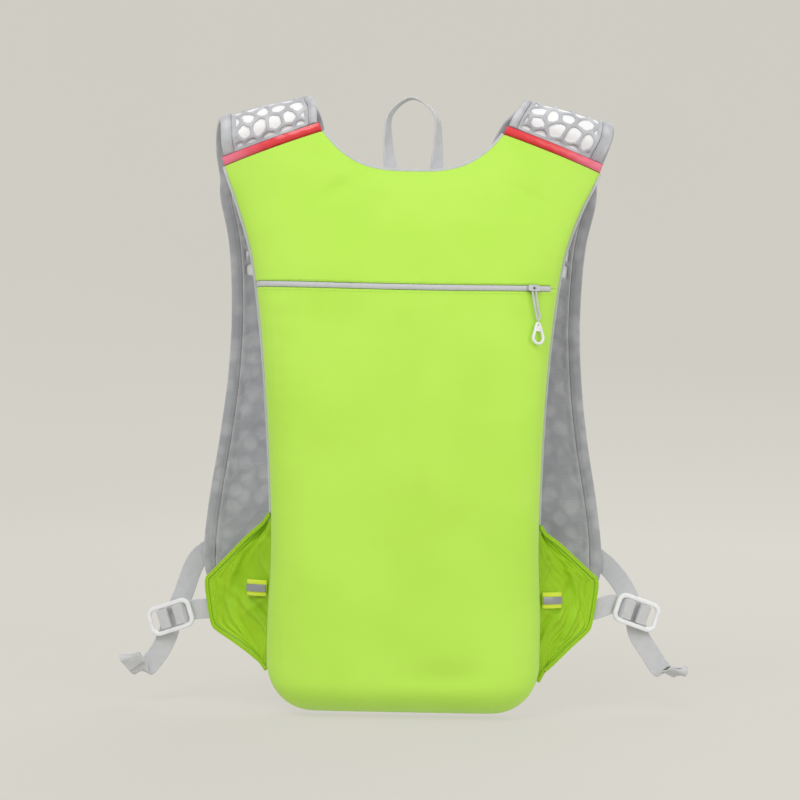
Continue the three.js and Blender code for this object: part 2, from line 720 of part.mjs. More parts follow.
// Strap sections with the first one on the trim's upper edge
const strap_start = (share) => {
  const at = seam_place(share, trim_width + gap + hem_thickness * 0.15);
  return { x: at.x, z: at.z, y: seam_depth(at.x, at.z) + pad_thickness / 2 };
};
const strap_rows = [
  {
    inner: strap_start(0.02).x / shoulder_half_width,
    outer: strap_start(0.98).x / shoulder_half_width,
    inner_height: strap_start(0.02).z / strap_crest_height,
    outer_height: strap_start(0.98).z / strap_crest_height,
    inner_depth: strap_start(0.02).y / strap_reach,
    outer_depth: strap_start(0.98).y / strap_reach,
  },
  ...strap_sections,
].map((row, index) => ({ ...row, index }));

// Point of the strap at a row, a distance from its inner edge and an offset through its thickness
function strap_edge(sign, row, edge) {
  const value = (column) => table_value(strap_rows, 'index', `${edge}${column}`, row);
  const depth = value('_depth') * strap_reach;
  const crest = smoothstep(row, 0, 1.5) - smoothstep(row, 3, 5);
  const shift = crest_shift * crest + harness_shift * smoothstep(depth, strap_reach * 0.5, strap_reach * 0.9);
  return vector(
    sign * value('') * shoulder_half_width + shift,
    depth,
    value('_height') * strap_crest_height,
  );
}

function strap_point(sign, row, distance, through) {
  const inner = strap_edge(sign, row, 'inner');
  const outer = strap_edge(sign, row, 'outer');
  const across = outer.clone().sub(inner);
  const wide = across.length();
  const share = distance / wide;
  const step = 0.05;
  const ahead = strap_edge(sign, row + step, 'inner').lerp(strap_edge(sign, row + step, 'outer'), share);
  const behind = strap_edge(sign, row - step, 'inner').lerp(strap_edge(sign, row - step, 'outer'), share);
  const normal = across.clone().cross(ahead.sub(behind)).normalize().multiplyScalar(sign);
  const crown = strap_crown * Math.max(4 * share * (1 - share), 0) * smoothstep(row, 0, 1.5);
  return inner.addScaledVector(across, share).addScaledVector(normal, crown + through);
}

const strap_width = (sign, row) => strap_edge(sign, row, 'inner').distanceTo(strap_edge(sign, row, 'outer'));
const strap_last_row = strap_rows.length - 1;
const strap_steps = shares(24).map((share) => share * strap_last_row);

function strap_hem(sign, at_outer_edge) {
  const wide = at_outer_edge ? outer_hem_width : inner_hem_width;
  const place = (row, distance, through) => {
    const from_inner = at_outer_edge ? strap_width(sign, row) - distance : distance;
    return strap_point(sign, row, from_inner, through);
  };
  const half = hem_thickness / 2;
  const section = [[0, -half + 1], [wide, -half], [wide, half], [0, half - 1]];
  return strip(place, section, strap_steps);
}

// Length along the strap's middle at each step, to space the cells evenly
function strap_lengths(sign) {
  const middle = (row) => strap_point(sign, row, strap_width(sign, row) / 2, 0);
  const rows = shares(280).map((share) => share * strap_last_row);
  let length = 0;
  return rows.map((row, i) => {
    length += i === 0 ? 0 : middle(row).distanceTo(middle(rows[i - 1]));
    return { row, length, height: middle(row).z, depth: middle(row).y };
  });
}

// Repeatable number between -1 and 1 for a cell's unevenness
const uneven = (a, b, c) => {
  const wave = Math.sin(a * 12.9898 + b * 78.233 + c * 37.719) * 43758.5453;
  return 2 * (wave - Math.floor(wave)) - 1;
};

// One five-sided hole with uneven corners, long enough to pass through the strap
function cell_cutter(sign, row, distance, seed) {
  const radius = cell_radius * (1 + 0.22 * uneven(seed, 1, sign));
  const corner_count = 5;
  const corners = Array.from({ length: corner_count }, (_, k) => {
    const turn = (k + 0.5 + 0.22 * uneven(seed, k, 3)) * 2 * Math.PI / corner_count;
    const reach = radius * (1 + 0.14 * uneven(seed, k, 7));
    return new THREE.Vector2(reach * Math.cos(turn), reach * Math.sin(turn));
  });
  const depth = 3 * strap_thickness;
  const prism = new THREE.ExtrudeGeometry(new THREE.Shape(corners), { depth, bevelEnabled: false });
  const step = 0.02;
  const base = strap_point(sign, row, distance, 0);
  const along = strap_point(sign, row + step, distance, 0).sub(base).normalize();
  const normal = strap_point(sign, row, distance, 1).sub(base).normalize();
  const across = normal.clone().cross(along).normalize();
  const start = base.addScaledVector(normal, -depth / 2);
  return prism.applyMatrix4(new THREE.Matrix4().makeBasis(along, across, normal).setPosition(start));
}

function strap_cells(sign) {
  const lengths = strap_lengths(sign);
  const pierced = lengths.filter((place) => place.height > pierced_height || place.depth < strap_reach / 2);
  const end = pierced[pierced.length - 1].length;
  const row_pitch = cell_pitch * Math.sqrt(3) / 2;
  const row_count = Math.floor((end - cell_border - cell_radius) / row_pitch);
  const cutters = [];
  for (let j = 0; j < row_count; j += 1) {
    const along = cell_border + cell_radius * 1.2 + j * row_pitch;
    const { row } = lengths.find((place) => place.length >= along);
    const margin = cell_border + cell_radius * 1.2;
    const first = inner_hem_width + margin;
    const last = strap_width(sign, row) - outer_hem_width - margin;
    const count = Math.floor((last - first) / cell_pitch);
    const slack = (last - first - count * cell_pitch) / 2;
    const stagger = (j % 2 === 0 ? -1 : 1) * Math.min(slack, cell_pitch / 4);
    for (let i = 0; i <= count; i += 1) {
      cutters.push(cell_cutter(sign, row, first + slack + stagger + i * cell_pitch, 10 * j + i));
    }
  }
  return cutters;
}

function strap_pad(sign) {
  const place = (share, row, face) => {
    const wide = strap_width(sign, row);
    const from = inner_hem_width + hem_seam;
    const to = wide - outer_hem_width - hem_seam;
    const side = face === 0 ? 0.5 : -0.5;
    return strap_point(sign, row, lerp(from, to, share), side * strap_thickness);
  };
  const pad = solid_of(sheet(place, shares(2), strap_steps));
  const holes = solid_of(mergeGeometries(strap_cells(sign)));
  return geometry_of(pad.subtract(holes));
}

// Rise of a wing at a distance from the bag: the waist hangs askew
const wing_rise = (sign, out) => sign * wing_sway * (2 * out / wing_reach - 1);

// Directions of a wing: out along its surface, up, and away from the wearer
const wing_out = (sign) => vector(sign * Math.cos(radians(wing_angle)), Math.sin(radians(wing_angle)), 0);
const wing_face = (sign) => vector(sign * Math.sin(radians(wing_angle)), -Math.cos(radians(wing_angle)), 0);
const wing_foot = wing_top - wing_height;

// Where a wing's cloth starts beside the bag
function wing_seam(sign, height) {
  const hung = height + wing_rise(sign, 0);
  return half_width(hung, sign) + 2 * gap + wing_thickness / 2 * Math.sin(radians(wing_angle));
}

// Folds that run from the tip towards the bag
function wing_fold(reach_share, height_share) {
  const spread = Math.sin(Math.PI * clamp(reach_share, 0, 1)) ** 0.8;
  return wing_fold_depth * spread * Math.sin(wing_fold_count * Math.PI * (height_share + 0.25 * reach_share));
}

// Middle of a wing's cloth at a share of its reach and a row of its outline, with an offset through it
function wing_point(sign, share, row, through, beyond = 0) {
  const reach = (wing_reach - sign * wing_reach_sway) * row.reach - wing_hem_width;
  const height_share = lerp(row.seam_height, row.edge_height, share);
  const seam_height = wing_foot + row.seam_height * wing_height;
  const seam_x = wing_seam(sign, seam_height);
  const height = wing_foot + height_share * wing_height;
  const out = share * reach + beyond;
  const base = vector(sign * seam_x, seam_depth(seam_x, seam_height) + pad_thickness / 2, 0);
  const point = base.addScaledVector(wing_out(sign), out);
  point.addScaledVector(wing_face(sign), through + wing_fold(share, height_share));
  point.z = height + wing_rise(sign, out);
  return point;
}

function wing(sign) {
  const place = (share, row, face) => {
    return wing_point(sign, share, row, (face === 0 ? 0.5 : -0.5) * wing_thickness);
  };
  return sheet(place, [0, 0.15, 0.32, 0.5, 0.68, 0.85, 1], wing_outline);
}

// Bound edge round a wing
function wing_hem(sign) {
  const edge = (index) => {
    const row = wing_outline[clamp(index, 0, wing_outline.length - 1)];
    return wing_point(sign, 1, row, 0);
  };
  const place = (index, out, through) => {
    const run = edge(index + 1).sub(edge(index - 1)).normalize();
    const away = run.clone().cross(wing_face(sign)).normalize().multiplyScalar(sign);
    return edge(index).addScaledVector(away, out).addScaledVector(wing_face(sign), through);
  };
  const half = wing_hem_thickness / 2;
  const section = [
    [hem_seam, -half],
    [wing_hem_width, -half],
    [wing_hem_width + gap, 0],
    [wing_hem_width, half],
    [hem_seam, half],
  ];
  return strip(place, section, wing_outline.map((_, index) => index));
}

// Folded reflective tab lying on a wing beside the bag, and the grey stripe on it
function wing_tab(sign, wide, thickness, lift) {
  const seam_x = wing_seam(sign, tab_height);
  const depth = seam_depth(seam_x, tab_height) + pad_thickness / 2;
  const base = vector(sign * seam_x, depth, tab_height + wing_rise(sign, 0));
  const place = (share, rise, through) => {
    const curl = 1.5 * Math.sin(Math.PI * share);
    return base.clone().addScaledVector(wing_out(sign), gap + share * tab_length)
      .addScaledVector(wing_face(sign), lift + curl + through)
      .add(vector(0, 0, rise));
  };
  const half = wide / 2;
  const section = [[-half, 0], [half, 0], [half, thickness], [-half, thickness]];
  return strip(place, section, shares(6));
}
const tab_base_lift = wing_thickness / 2 + 0.4 * wing_fold_depth + gap;

// Buckle: its own frame has x from its inner end outwards, y along its bars and z away from the wearer
function buckle_frame(sign) {
  const x = sign * (bag_half_width + wing_reach + buckle_stand_off);
  const height = buckle_height + x * Math.tan(radians(sway_angle));
  const tilt = radians(buckle_tilt);
  const turn = radians(wing_angle * 0.5);
  const out = vector(sign * Math.cos(tilt) * Math.cos(turn), Math.cos(tilt) * Math.sin(turn), -Math.sin(tilt));
  const face = vector(sign * Math.sin(turn), -Math.cos(turn), 0);
  const side = face.clone().cross(out).normalize();
  const place = vector(x, buckle_depth, height);
  return new THREE.Matrix4().makeBasis(out, side, face).setPosition(place);
}

// Places along the buckle, from its middle
const bar_places = { wing: -buckle_length * 0.2, ladder: buckle_length * 0.15 };

function buckle(sign) {
  const shape = rounded_shape(buckle_length, buckle_width, buckle_corner_radius);
  const slot_half = buckle_width / 2 - buckle_rim;
  const slot = (from, to) => {
    const path = new THREE.Path();
    path.moveTo(from, -slot_half);
    path.lineTo(to, -slot_half);
    path.lineTo(to, slot_half);
    path.lineTo(from, slot_half);
    path.closePath();
    return path;
  };
  shape.holes.push(slot(-buckle_length / 2 + buckle_rim, buckle_length / 2 - buckle_rim));
  const rim = new THREE.ExtrudeGeometry(shape, {
    depth: buckle_thickness, bevelEnabled: false, curveSegments: 4,
  });
  rim.translate(0, 0, -buckle_thickness / 2);
  let whole = solid_of(rim);
  for (const place of Object.values(bar_places)) {
    const bar = new THREE.BoxGeometry(buckle_bar_width, 2 * slot_half + buckle_rim, buckle_bar_thickness);
    bar.translate(place, 0, -buckle_bar_thickness / 4);
    whole = whole.add(solid_of(bar));
  }
  return geometry_of(whole).applyMatrix4(buckle_frame(sign));
}

// Webbing over one bar of the buckle: up through a slot, over the bar and down again
function over_bar(place) {
  const bar_top = buckle_bar_thickness / 4;
  const half = buckle_bar_width / 2;
  const bend = gap + webbing_thickness / 2 + 0.1;
  const side = [
    vector(half + bend, 0, -buckle_thickness / 2),
    vector(half + bend, 0, bar_top),
    vector(half + bend * 0.72, 0, bar_top + bend * 0.72),
    vector(half - 0.2, 0, bar_top + bend),
  ];
  const mirrored = side.map((point) => vector(-point.x, 0, point.z));
  return [...mirrored, ...side.reverse()].map((point) => point.add(vector(place, 0, 0)));
}

const webbing_section = flat_section(webbing_width, webbing_thickness);

function webbing_band(curve, width_direction, step_count) {
  return band((s) => curve.getPoint(s), width_direction, webbing_section, step_count);
}

// Turn of the side webbing over the ribbed bar
function adjuster_turn(sign) {
  const frame = buckle_frame(sign);
  const curve = new THREE.CatmullRomCurve3(over_bar(bar_places.ladder).map((point) => point.applyMatrix4(frame)));
  const side = vector(0, 1, 0).transformDirection(frame);
  return webbing_band(curve, () => side, 18);
}

// Webbing from behind the wing's tip round the buckle's inner bar
function wing_webbing(sign) {
  const frame = buckle_frame(sign);
  const row = webbing_row;
  const behind = -(wing_hem_thickness / 2 + gap + webbing_thickness / 2 + 0.1);
  const start = wing_point(sign, 1, row, behind, -5);
  const tip = wing_point(sign, 1, row, behind, wing_hem_width + 2);
  const under = -(buckle_thickness / 2 + gap + webbing_thickness);
  const points = [
    vector(-buckle_length / 2 - 1, 0, under),
    vector(-buckle_length / 2 + buckle_rim, 0, under),
    ...over_bar(bar_places.wing).slice(1),
  ].map((point) => point.applyMatrix4(frame));
  const curve = new THREE.CatmullRomCurve3([start, tip, ...points]);
  const side = vector(0, 1, 0).transformDirection(frame);
  const upright = vector(0, 0, Math.sign(side.z));
  return webbing_band(curve, (s) => upright.clone().lerp(side, smoothstep(s, 0, 0.5)), 24);
}

// Side webbing: from the chest side of the strap's lower edge, behind the buckle, to a free tail with its end curled
const adjuster_start = { row: 11.8, inside: 10 };
const adjuster_leave = { row: 12.15, beyond: 4.5 };
const adjuster_leans = [44, 42, 26, 16]; // degrees of the band to the upright until the buckle
function adjuster(side) {
  const { sign, name } = side;
  const frame = buckle_frame(sign);
  const lift = hem_thickness / 2 + gap + webbing_thickness / 2 + 0.5;
  const beside_strap = (row, beyond) => strap_point(sign, row, strap_width(sign, row) + beyond, lift);
  const back = -(buckle_thickness / 2 + 2 * gap + 2 * webbing_thickness + 1.2);
  const middle = vector(0, 0, back).applyMatrix4(frame);
  const above = middle.clone().add(vector(-sign * 0.42, 0.53, 1.1).multiplyScalar(webbing_width));
  const tail = tail_route[name].map((row) => middle.clone().add(vector(
    sign * row.out * webbing_width,
    row.back * webbing_width,
    -row.down * webbing_width,
  )));
  const curve = new THREE.CatmullRomCurve3([
    beside_strap(adjuster_start.row, -adjuster_start.inside),
    beside_strap(adjuster_leave.row, adjuster_leave.beyond),
    above,
    middle,
    ...tail,
  ]);
  const leans = [...adjuster_leans, ...tail_route[name].map((row) => row.lean)];
  const wide = (s) => {
    const at = s * (leans.length - 1);
    const index = Math.min(Math.floor(at), leans.length - 2);
    const lean = radians(lerp(leans[index], leans[index + 1], at - index));
    return vector(Math.cos(lean), 0, sign * Math.sin(lean));
  };
  return webbing_band(curve, wide, 30);
}

add('pack_cover', pack_cover(), 'lime_nylon');
add('yoke_cover', yoke_cover(), 'lime_nylon');
add('back_pad', back_pad(), 'grey_mesh');
add('neck_binding', neck_binding(), 'grey_tape');
add('zip_band', zip_band(), 'grey_tape');
add('zip_slider', zip_slider(), 'slider_metal');
add('zip_pull_cord', zip_pull_cord(), 'grey_tape');
add('zip_pull_tab', zip_pull_tab(), 'pale_plastic');
add('grab_loop', grab_loop(), 'webbing');
for (const side of sides) {
  const { name, sign } = side;
  add(`${name}_armhole_binding`, armhole_binding(sign), 'grey_tape');
  add(`${name}_yoke_trim`, yoke_trim(sign), 'red_trim');
  add(`${name}_strap_pad`, strap_pad(sign), 'grey_mesh');
  add(`${name}_strap_outer_hem`, strap_hem(sign, true), 'grey_tape');
  add(`${name}_strap_inner_hem`, strap_hem(sign, false), 'grey_tape');
  add(`${name}_wing`, wing(sign), 'wing_nylon');
  add(`${name}_wing_hem`, wing_hem(sign), 'wing_nylon');
  add(`${name}_tab_tape`, wing_tab(sign, tab_width, tab_thickness, tab_base_lift), 'fluo_tape');
  add(
    `${name}_tab_stripe`,
    wing_tab(sign, tab_stripe_width, tab_stripe_thickness, tab_base_lift + tab_thickness + gap),
    'reflective',
  );
  add(`${name}_buckle`, buckle(sign), 'pale_plastic');
  add(`${name}_wing_webbing`, wing_webbing(sign), 'webbing');
  add(`${name}_adjuster_turn`, adjuster_turn(sign), 'webbing');
  add(`${name}_adjuster`, adjuster(side), 'webbing');
}

// Seat of the straps on the shoulders: under the middle of the straps' crests
const seat_row = 2;
const seat = strap_point(1, seat_row, strap_width(1, seat_row) / 2, -strap_thickness / 2);
bag.position.set(0, -seat.y, -seat.z);

const running_backpack = new THREE.Group();
running_backpack.add(bag);
export default running_backpack;
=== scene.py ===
# %% [markdown]
# # A running backpack, dressed on its frame
# The frame gives every solid of the backpack in its true place. This lesson gives each of them its cloth, foam,
# webbing or moulded plastic. The real object is a light vest-style bag: a lime nylon bag between two pierced foam
# straps, held at the waist by two wings, two ladder-lock buckles and grey webbing.

# %% Tools and the shared frame
import math
import bpy
import numpy as np
from mathutils import Matrix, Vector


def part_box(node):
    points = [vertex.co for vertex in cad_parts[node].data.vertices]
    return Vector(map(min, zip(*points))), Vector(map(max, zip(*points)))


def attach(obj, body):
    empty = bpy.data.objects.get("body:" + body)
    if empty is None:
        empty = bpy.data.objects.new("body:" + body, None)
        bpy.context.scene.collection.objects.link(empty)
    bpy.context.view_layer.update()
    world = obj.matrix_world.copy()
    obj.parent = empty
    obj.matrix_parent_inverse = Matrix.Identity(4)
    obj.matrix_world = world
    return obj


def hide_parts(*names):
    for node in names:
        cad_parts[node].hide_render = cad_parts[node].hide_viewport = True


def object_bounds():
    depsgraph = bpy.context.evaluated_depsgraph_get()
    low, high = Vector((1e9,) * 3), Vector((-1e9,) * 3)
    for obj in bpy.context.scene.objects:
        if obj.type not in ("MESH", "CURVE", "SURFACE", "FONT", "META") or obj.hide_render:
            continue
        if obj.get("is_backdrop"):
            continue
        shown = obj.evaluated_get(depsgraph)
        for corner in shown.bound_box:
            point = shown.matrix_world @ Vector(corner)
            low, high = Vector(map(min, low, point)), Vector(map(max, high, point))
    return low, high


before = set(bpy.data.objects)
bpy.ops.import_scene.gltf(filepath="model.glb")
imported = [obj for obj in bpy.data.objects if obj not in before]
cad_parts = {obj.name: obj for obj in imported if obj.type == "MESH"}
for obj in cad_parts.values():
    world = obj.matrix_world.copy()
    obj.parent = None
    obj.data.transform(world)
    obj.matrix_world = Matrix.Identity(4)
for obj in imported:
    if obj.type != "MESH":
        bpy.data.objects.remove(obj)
frame_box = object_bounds()
print("solids in the frame:", len(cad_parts))

# %% [markdown]
# ## The bag's own measure
# A bag is easiest to describe from its bottom edge up and from its seam outwards, in millimetres. The lowest corner
# of the back pad is that zero, so its place in the frame turns the bag's millimetres into the frame's metres.

# %% Bag millimetres to frame metres
MILLIMETRE = 0.001
BAG_ZERO = np.array(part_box("back_pad")[0]) * np.array([0, 1, 1])


def in_frame(points):
    """Points in the bag's millimetres, times a thousandth, plus the place of the bag's zero."""
    return np.asarray(points, float) * MILLIMETRE + BAG_ZERO


def unit(vectors):
    """Each vector divided by its own length."""
    return vectors / np.maximum(np.linalg.norm(vectors, axis=-1, keepdims=True), 1e-12)


print("bag's zero in the frame:", np.round(BAG_ZERO, 4))

# %% [markdown]
# ## Camera
# The picture is taken from behind the wearer, level with the middle of the bag, with a long lens, so that the near
# and far parts keep their sizes. The bag hangs a degree askew, which is a small roll of the camera.

# %% Camera
PICTURE_WIDTH = 592
LENS = 100
SENSOR = 36
PICTURE_MIDDLE = (-5.9, 0, 230.6)
ROLL = math.radians(1.1)

camera_data = bpy.data.cameras.new("studio_camera")
camera_data.lens = LENS
camera_data.sensor_width = SENSOR
camera = bpy.data.objects.new("studio_camera", camera_data)
bpy.context.scene.collection.objects.link(camera)
bpy.context.scene.camera = camera
distance = PICTURE_WIDTH * LENS / SENSOR
eye = in_frame(np.array(PICTURE_MIDDLE) - np.array([0, distance, 0]))
camera.matrix_world = Matrix((
    (math.cos(ROLL), -math.sin(ROLL), 0, eye[0]),
    (0, 0, -1, eye[1]),
    (math.sin(ROLL), math.cos(ROLL), 0, eye[2]),
    (0, 0, 0, 1),
))
print("camera stands", round(distance), "mm in front of the seam")

# %% [markdown]
# ## Meshes from grids
# Every new piece is a grid of points worked out as whole arrays: a sheet with two faces and a rim, or a section
# carried along a path. One function then makes the object, gives it a map in millimetres for its weave and its finish,
# hangs it on the frame's root, and hides the solids that it stands for.


# %% Making an object from arrays
def new_piece(name, points, faces, uv, finish, slot, stands_for=(), smooth=True):
    """Mesh from points in bag millimetres, faces as rows of point numbers, and one map place per point."""
    mesh = bpy.data.meshes.new(name)
    mesh.from_pydata(in_frame(points).tolist(), [], [list(face) for face in faces])
    layer = mesh.uv_layers.new(name="cloth_map")
    corners = np.zeros(len(mesh.loops), np.int32)
    mesh.loops.foreach_get("vertex_index", corners)
    layer.data.foreach_set("uv", np.asarray(uv, np.float32)[corners].ravel())
    mesh.polygons.foreach_set("use_smooth", np.full(len(mesh.polygons), smooth))
    mesh.materials.append(finish)
    mesh.validate()
    piece = bpy.data.objects.new(name, mesh)
    bpy.context.scene.collection.objects.link(piece)
    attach(piece, "root")
    if stands_for:
        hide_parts(*stands_for)
    print(f"{name}: {len(mesh.polygons)} faces")
    return piece


def outwards(points, faces):
    """The faces, turned over if the volume that they close comes out negative."""
    faces = np.asarray(faces)
    a, b, c = points[faces[:, 0]], points[faces[:, 1]], points[faces[:, 2]]
    d = points[faces[:, 3]]
    volume = np.einsum("ij,ij->i", a, np.cross(b, c)).sum() + np.einsum("ij,ij->i", a, np.cross(c, d)).sum()
    return faces if volume > 0 else faces[:, ::-1]


def two_faced(outer, inner, uv):
    """Closed sheet: a grid for the outer face, one for the inner, and quads that join their four edges."""
    rows, columns = outer.shape[:2]
    number = np.arange(rows * columns).reshape(rows, columns)
    back = number + rows * columns
    quad = lambda n: np.stack([n[:-1, :-1], n[:-1, 1:], n[1:, 1:], n[1:, :-1]], -1).reshape(-1, 4)
    rim = []
    for near, far in ((number[0], back[0]), (number[-1][::-1], back[-1][::-1]),
                      (number[:, 0][::-1], back[:, 0][::-1]), (number[:, -1], back[:, -1])):
        rim.append(np.stack([near[1:], near[:-1], far[:-1], far[1:]], -1))
    faces = np.concatenate([quad(number), quad(back)[:, ::-1], *rim])
    points = np.concatenate([outer.reshape(-1, 3), inner.reshape(-1, 3)])
    uv = uv.reshape(-1, 2)
    return points, outwards(points, faces), np.concatenate([uv, uv])


def swept(path, side, face, section, closed=False):
    """Section points (a, b) carried along a path: path + a * side + b * face, closed to a loop or capped."""
    section = np.asarray(section, float)
    if section.ndim == 2:
        section = np.broadcast_to(section, (len(path), *section.shape))
    grid = path[:, None] + section[..., :1] * side[:, None] + section[..., 1:] * face[:, None]
    steps, count = grid.shape[:2]
    number = np.arange(steps * count).reshape(steps, count)
    ring = np.roll(number, -1, axis=1)
    if closed:
        faces = np.stack([number, ring, np.roll(ring, -1, axis=0), np.roll(number, -1, axis=0)], -1).reshape(-1, 4)
    else:
        faces = np.stack([number[:-1], ring[:-1], ring[1:], number[1:]], -1).reshape(-1, 4)
    points = grid.reshape(-1, 3)
    right_way = outwards(points, faces)
    turned = right_way[0][0] != faces[0][0]
    faces = right_way.tolist()
    if not closed:
        start, end = number[0][::-1].tolist(), number[-1].tolist()
        faces += [start[::-1], end[::-1]] if turned else [start, end]
    length = np.concatenate([[0], np.cumsum(np.linalg.norm(np.diff(path, axis=0), axis=1))])
    uv = np.stack([section[..., 0], np.broadcast_to(length[:, None], (steps, count))], -1).reshape(-1, 2)
    return points, faces, uv


def joined(*parts):
    """Several (points, faces, map) sets as one, with the face numbers moved along."""
    points, faces, maps, count = [], [], [], 0
    for part_points, part_faces, part_uv in parts:
        points.append(part_points)
        faces += [[n + count for n in face] for face in part_faces]
        maps.append(part_uv)
        count += len(part_points)
    return np.concatenate(points), faces, np.concatenate(maps)


def rounded_section(width, thickness, radius, corner_steps=3):
    """Rectangle with quarter-circle corners, as points (across, through) in order round it."""
    turns = np.linspace(0, np.pi / 2, corner_steps + 1)
    corners = []
    for quarter, (sx, sy) in enumerate(((1, 1), (-1, 1), (-1, -1), (1, -1))):
        turn = turns + quarter * np.pi / 2
        middle = np.array([sx * (width / 2 - radius), sy * (thickness / 2 - radius)])
        corners.append(middle + radius * np.stack([np.cos(turn), np.sin(turn)], -1))
    return np.concatenate(corners)


# %% [markdown]
# ## Material arithmetic
# A material is a network of nodes, and a long one is hard to read as calls. The class Signal wraps one socket, so
# that sums, products and comparisons of signals read like plain arithmetic while they add Math nodes. The class
# Finish holds one material, and its method add() puts in any other kind of node.


# %% Signals and finishes
class Signal:
    """A value on its way through a material."""

    def __init__(self, finish, socket):
        self.finish = finish
        self.socket = socket

    def maths(self, operation, *values):
        return self.finish.add("ShaderNodeMath", {"operation": operation}, dict(enumerate(values)))

    def __add__(self, other):
        return self.maths("ADD", self, other)

    __radd__ = __add__

    def __sub__(self, other):
        return self.maths("SUBTRACT", self, other)

    def __rsub__(self, other):
        return self.maths("SUBTRACT", other, self)

    def __mul__(self, other):
        return self.maths("MULTIPLY", self, other)

    __rmul__ = __mul__

    def __truediv__(self, other):
        return self.maths("DIVIDE", self, other)

    def __gt__(self, other):
        return self.maths("GREATER_THAN", self, other)

    def sine(self):
        return self.maths("SINE", self)

    def size(self):
        return self.maths("ABSOLUTE", self)

    def fraction(self):
        return self.maths("FRACT", self)

    def larger(self, other):
        return self.maths("MAXIMUM", self, other)

    def between(self, low, high, start=0.0, end=1.0):
        """Smooth step from start to end while the value goes from low to high."""
        return self.finish.add(
            "ShaderNodeMapRange", {"interpolation_type": "SMOOTHSTEP"}, {0: self, 1: low, 2: high, 3: start, 4: end})


class Finish:
    """A material with its shader; constants go straight onto the shader's sockets."""

    def __init__(self, name, **constants):
        self.material = bpy.data.materials.new(name)
        self.material.use_nodes = True
        self.tree = self.material.node_tree
        self.shader = self.tree.nodes["Principled BSDF"]
        for socket, value in constants.items():
            self.shader.inputs[socket.replace("_", " ")].default_value = value

    def add(self, kind, settings, sockets, output=0):
        """A node of a kind: its settings first, then a value or a link for each socket."""
        node = self.tree.nodes.new(kind)
        for key, value in settings.items():
            setattr(node, key, value)
        for key, value in sockets.items():
            self.feed(node.inputs[key], value)
        return Signal(self, node.outputs[output])

    def feed(self, socket, value):
        if isinstance(value, Signal):
            self.tree.links.new(value.socket, socket)
        else:
            socket.default_value = value

    def shade(self, **sockets):
        for key, value in sockets.items():
            self.feed(self.shader.inputs[key.replace("_", " ")], value)
        return self

    def place(self, scale=1000):
        """Object coordinates in millimetres."""
        spot = self.add("ShaderNodeTexCoord", {}, {}, "Object")
        return self.add("ShaderNodeVectorMath", {"operation": "SCALE"}, {0: spot, "Scale": scale})

    def cloth_map(self):
        """The piece's own map, in millimetres: across and along."""
        spot = self.add("ShaderNodeTexCoord", {}, {}, "UV")
        node = self.tree.nodes.new("ShaderNodeSeparateXYZ")
        self.feed(node.inputs[0], spot)
        return Signal(self, node.outputs[0]), Signal(self, node.outputs[1])

    def noise(self, place, pitch, detail=2.0, roughness=0.5):
        """Noise whose blots are about a pitch wide, from 0 to 1."""
        return self.add(
            "ShaderNodeTexNoise", {}, {"Vector": place, "Scale": 1 / pitch, "Detail": detail, "Roughness": roughness})

    def mixed(self, share, first, second):
        return self.add("ShaderNodeMix", {"data_type": "RGBA"}, {0: share, 6: first, 7: second}, 2)

    def relief(self, height, depth, strength=1.0):
        """Bump of a height from 0 to 1 that is depth millimetres deep."""
        return self.add("ShaderNodeBump", {}, {"Height": height, "Distance": depth * MILLIMETRE, "Strength": strength})


def paint(red, green, blue, brighter=1.0):
    """A screen colour of 0 to 255 as the linear colour of a material."""
    share = np.array([red, green, blue]) / 255
    linear = np.where(share <= 0.04045, share / 12.92, ((share + 0.055) / 1.055) ** 2.4) * brighter
    return (*np.clip(linear, 0, 1).tolist(), 1.0)


# %% [markdown]
# ## Cloth and plastic
# Nylon is a tight plain weave, so close up it has a fine grid and from afar a soft sheen and slow changes of tone.
# Webbing is a heavy weave with ribs across it, and the straps are foam under brushed knit. Each weave here is made
# of sine waves on the piece's own map, which follows the cloth, so that it neither slides nor stretches.


# %% Weaves
def plain_weave(finish, pitch):
    """Over-and-under of two sets of threads: the warp shows where the product of the two waves is positive."""
    across, along = finish.cloth_map()
    warp = (across * (math.pi / pitch)).sine()
    weft = (along * (math.pi / pitch)).sine()
    over = (warp * weft) > 0
    return over * warp.size() + (1 - over) * weft.size()


def cloth(name, colour, shadow_colour, pitch=0.6, roughness=0.62, sheen=0.25, crease=0.0, crease_pitch=9.0):
    """Plain woven nylon whose tone drifts slowly, with painted shade between its threads, and creases if asked for."""
    finish = Finish(name, Specular_IOR_Level=0.35, Sheen_Weight=sheen, Sheen_Roughness=0.4)
    place = finish.place()
    drift = finish.noise(place, 70, 2.0)
    threads = plain_weave(finish, pitch)
    # The drift is a random change of tone; (1 - threads) is painted shade in the gaps between the threads.
    tone = drift.between(0.3, 0.7, 0.0, 0.4) + (1 - threads) * 0.18
    finish.shade(
        Base_Color=finish.mixed(tone, colour, shadow_colour),
        Roughness=finish.noise(place, 25).between(0.2, 0.8, roughness - 0.05, roughness + 0.08),
    )
    height = threads * 0.12
    if crease:
        folds = finish.noise(place, crease_pitch, 3.0, 0.55)
        height = height + folds * crease
    finish.shade(Normal=finish.relief(height, 1.0, 0.6))
    return finish.material


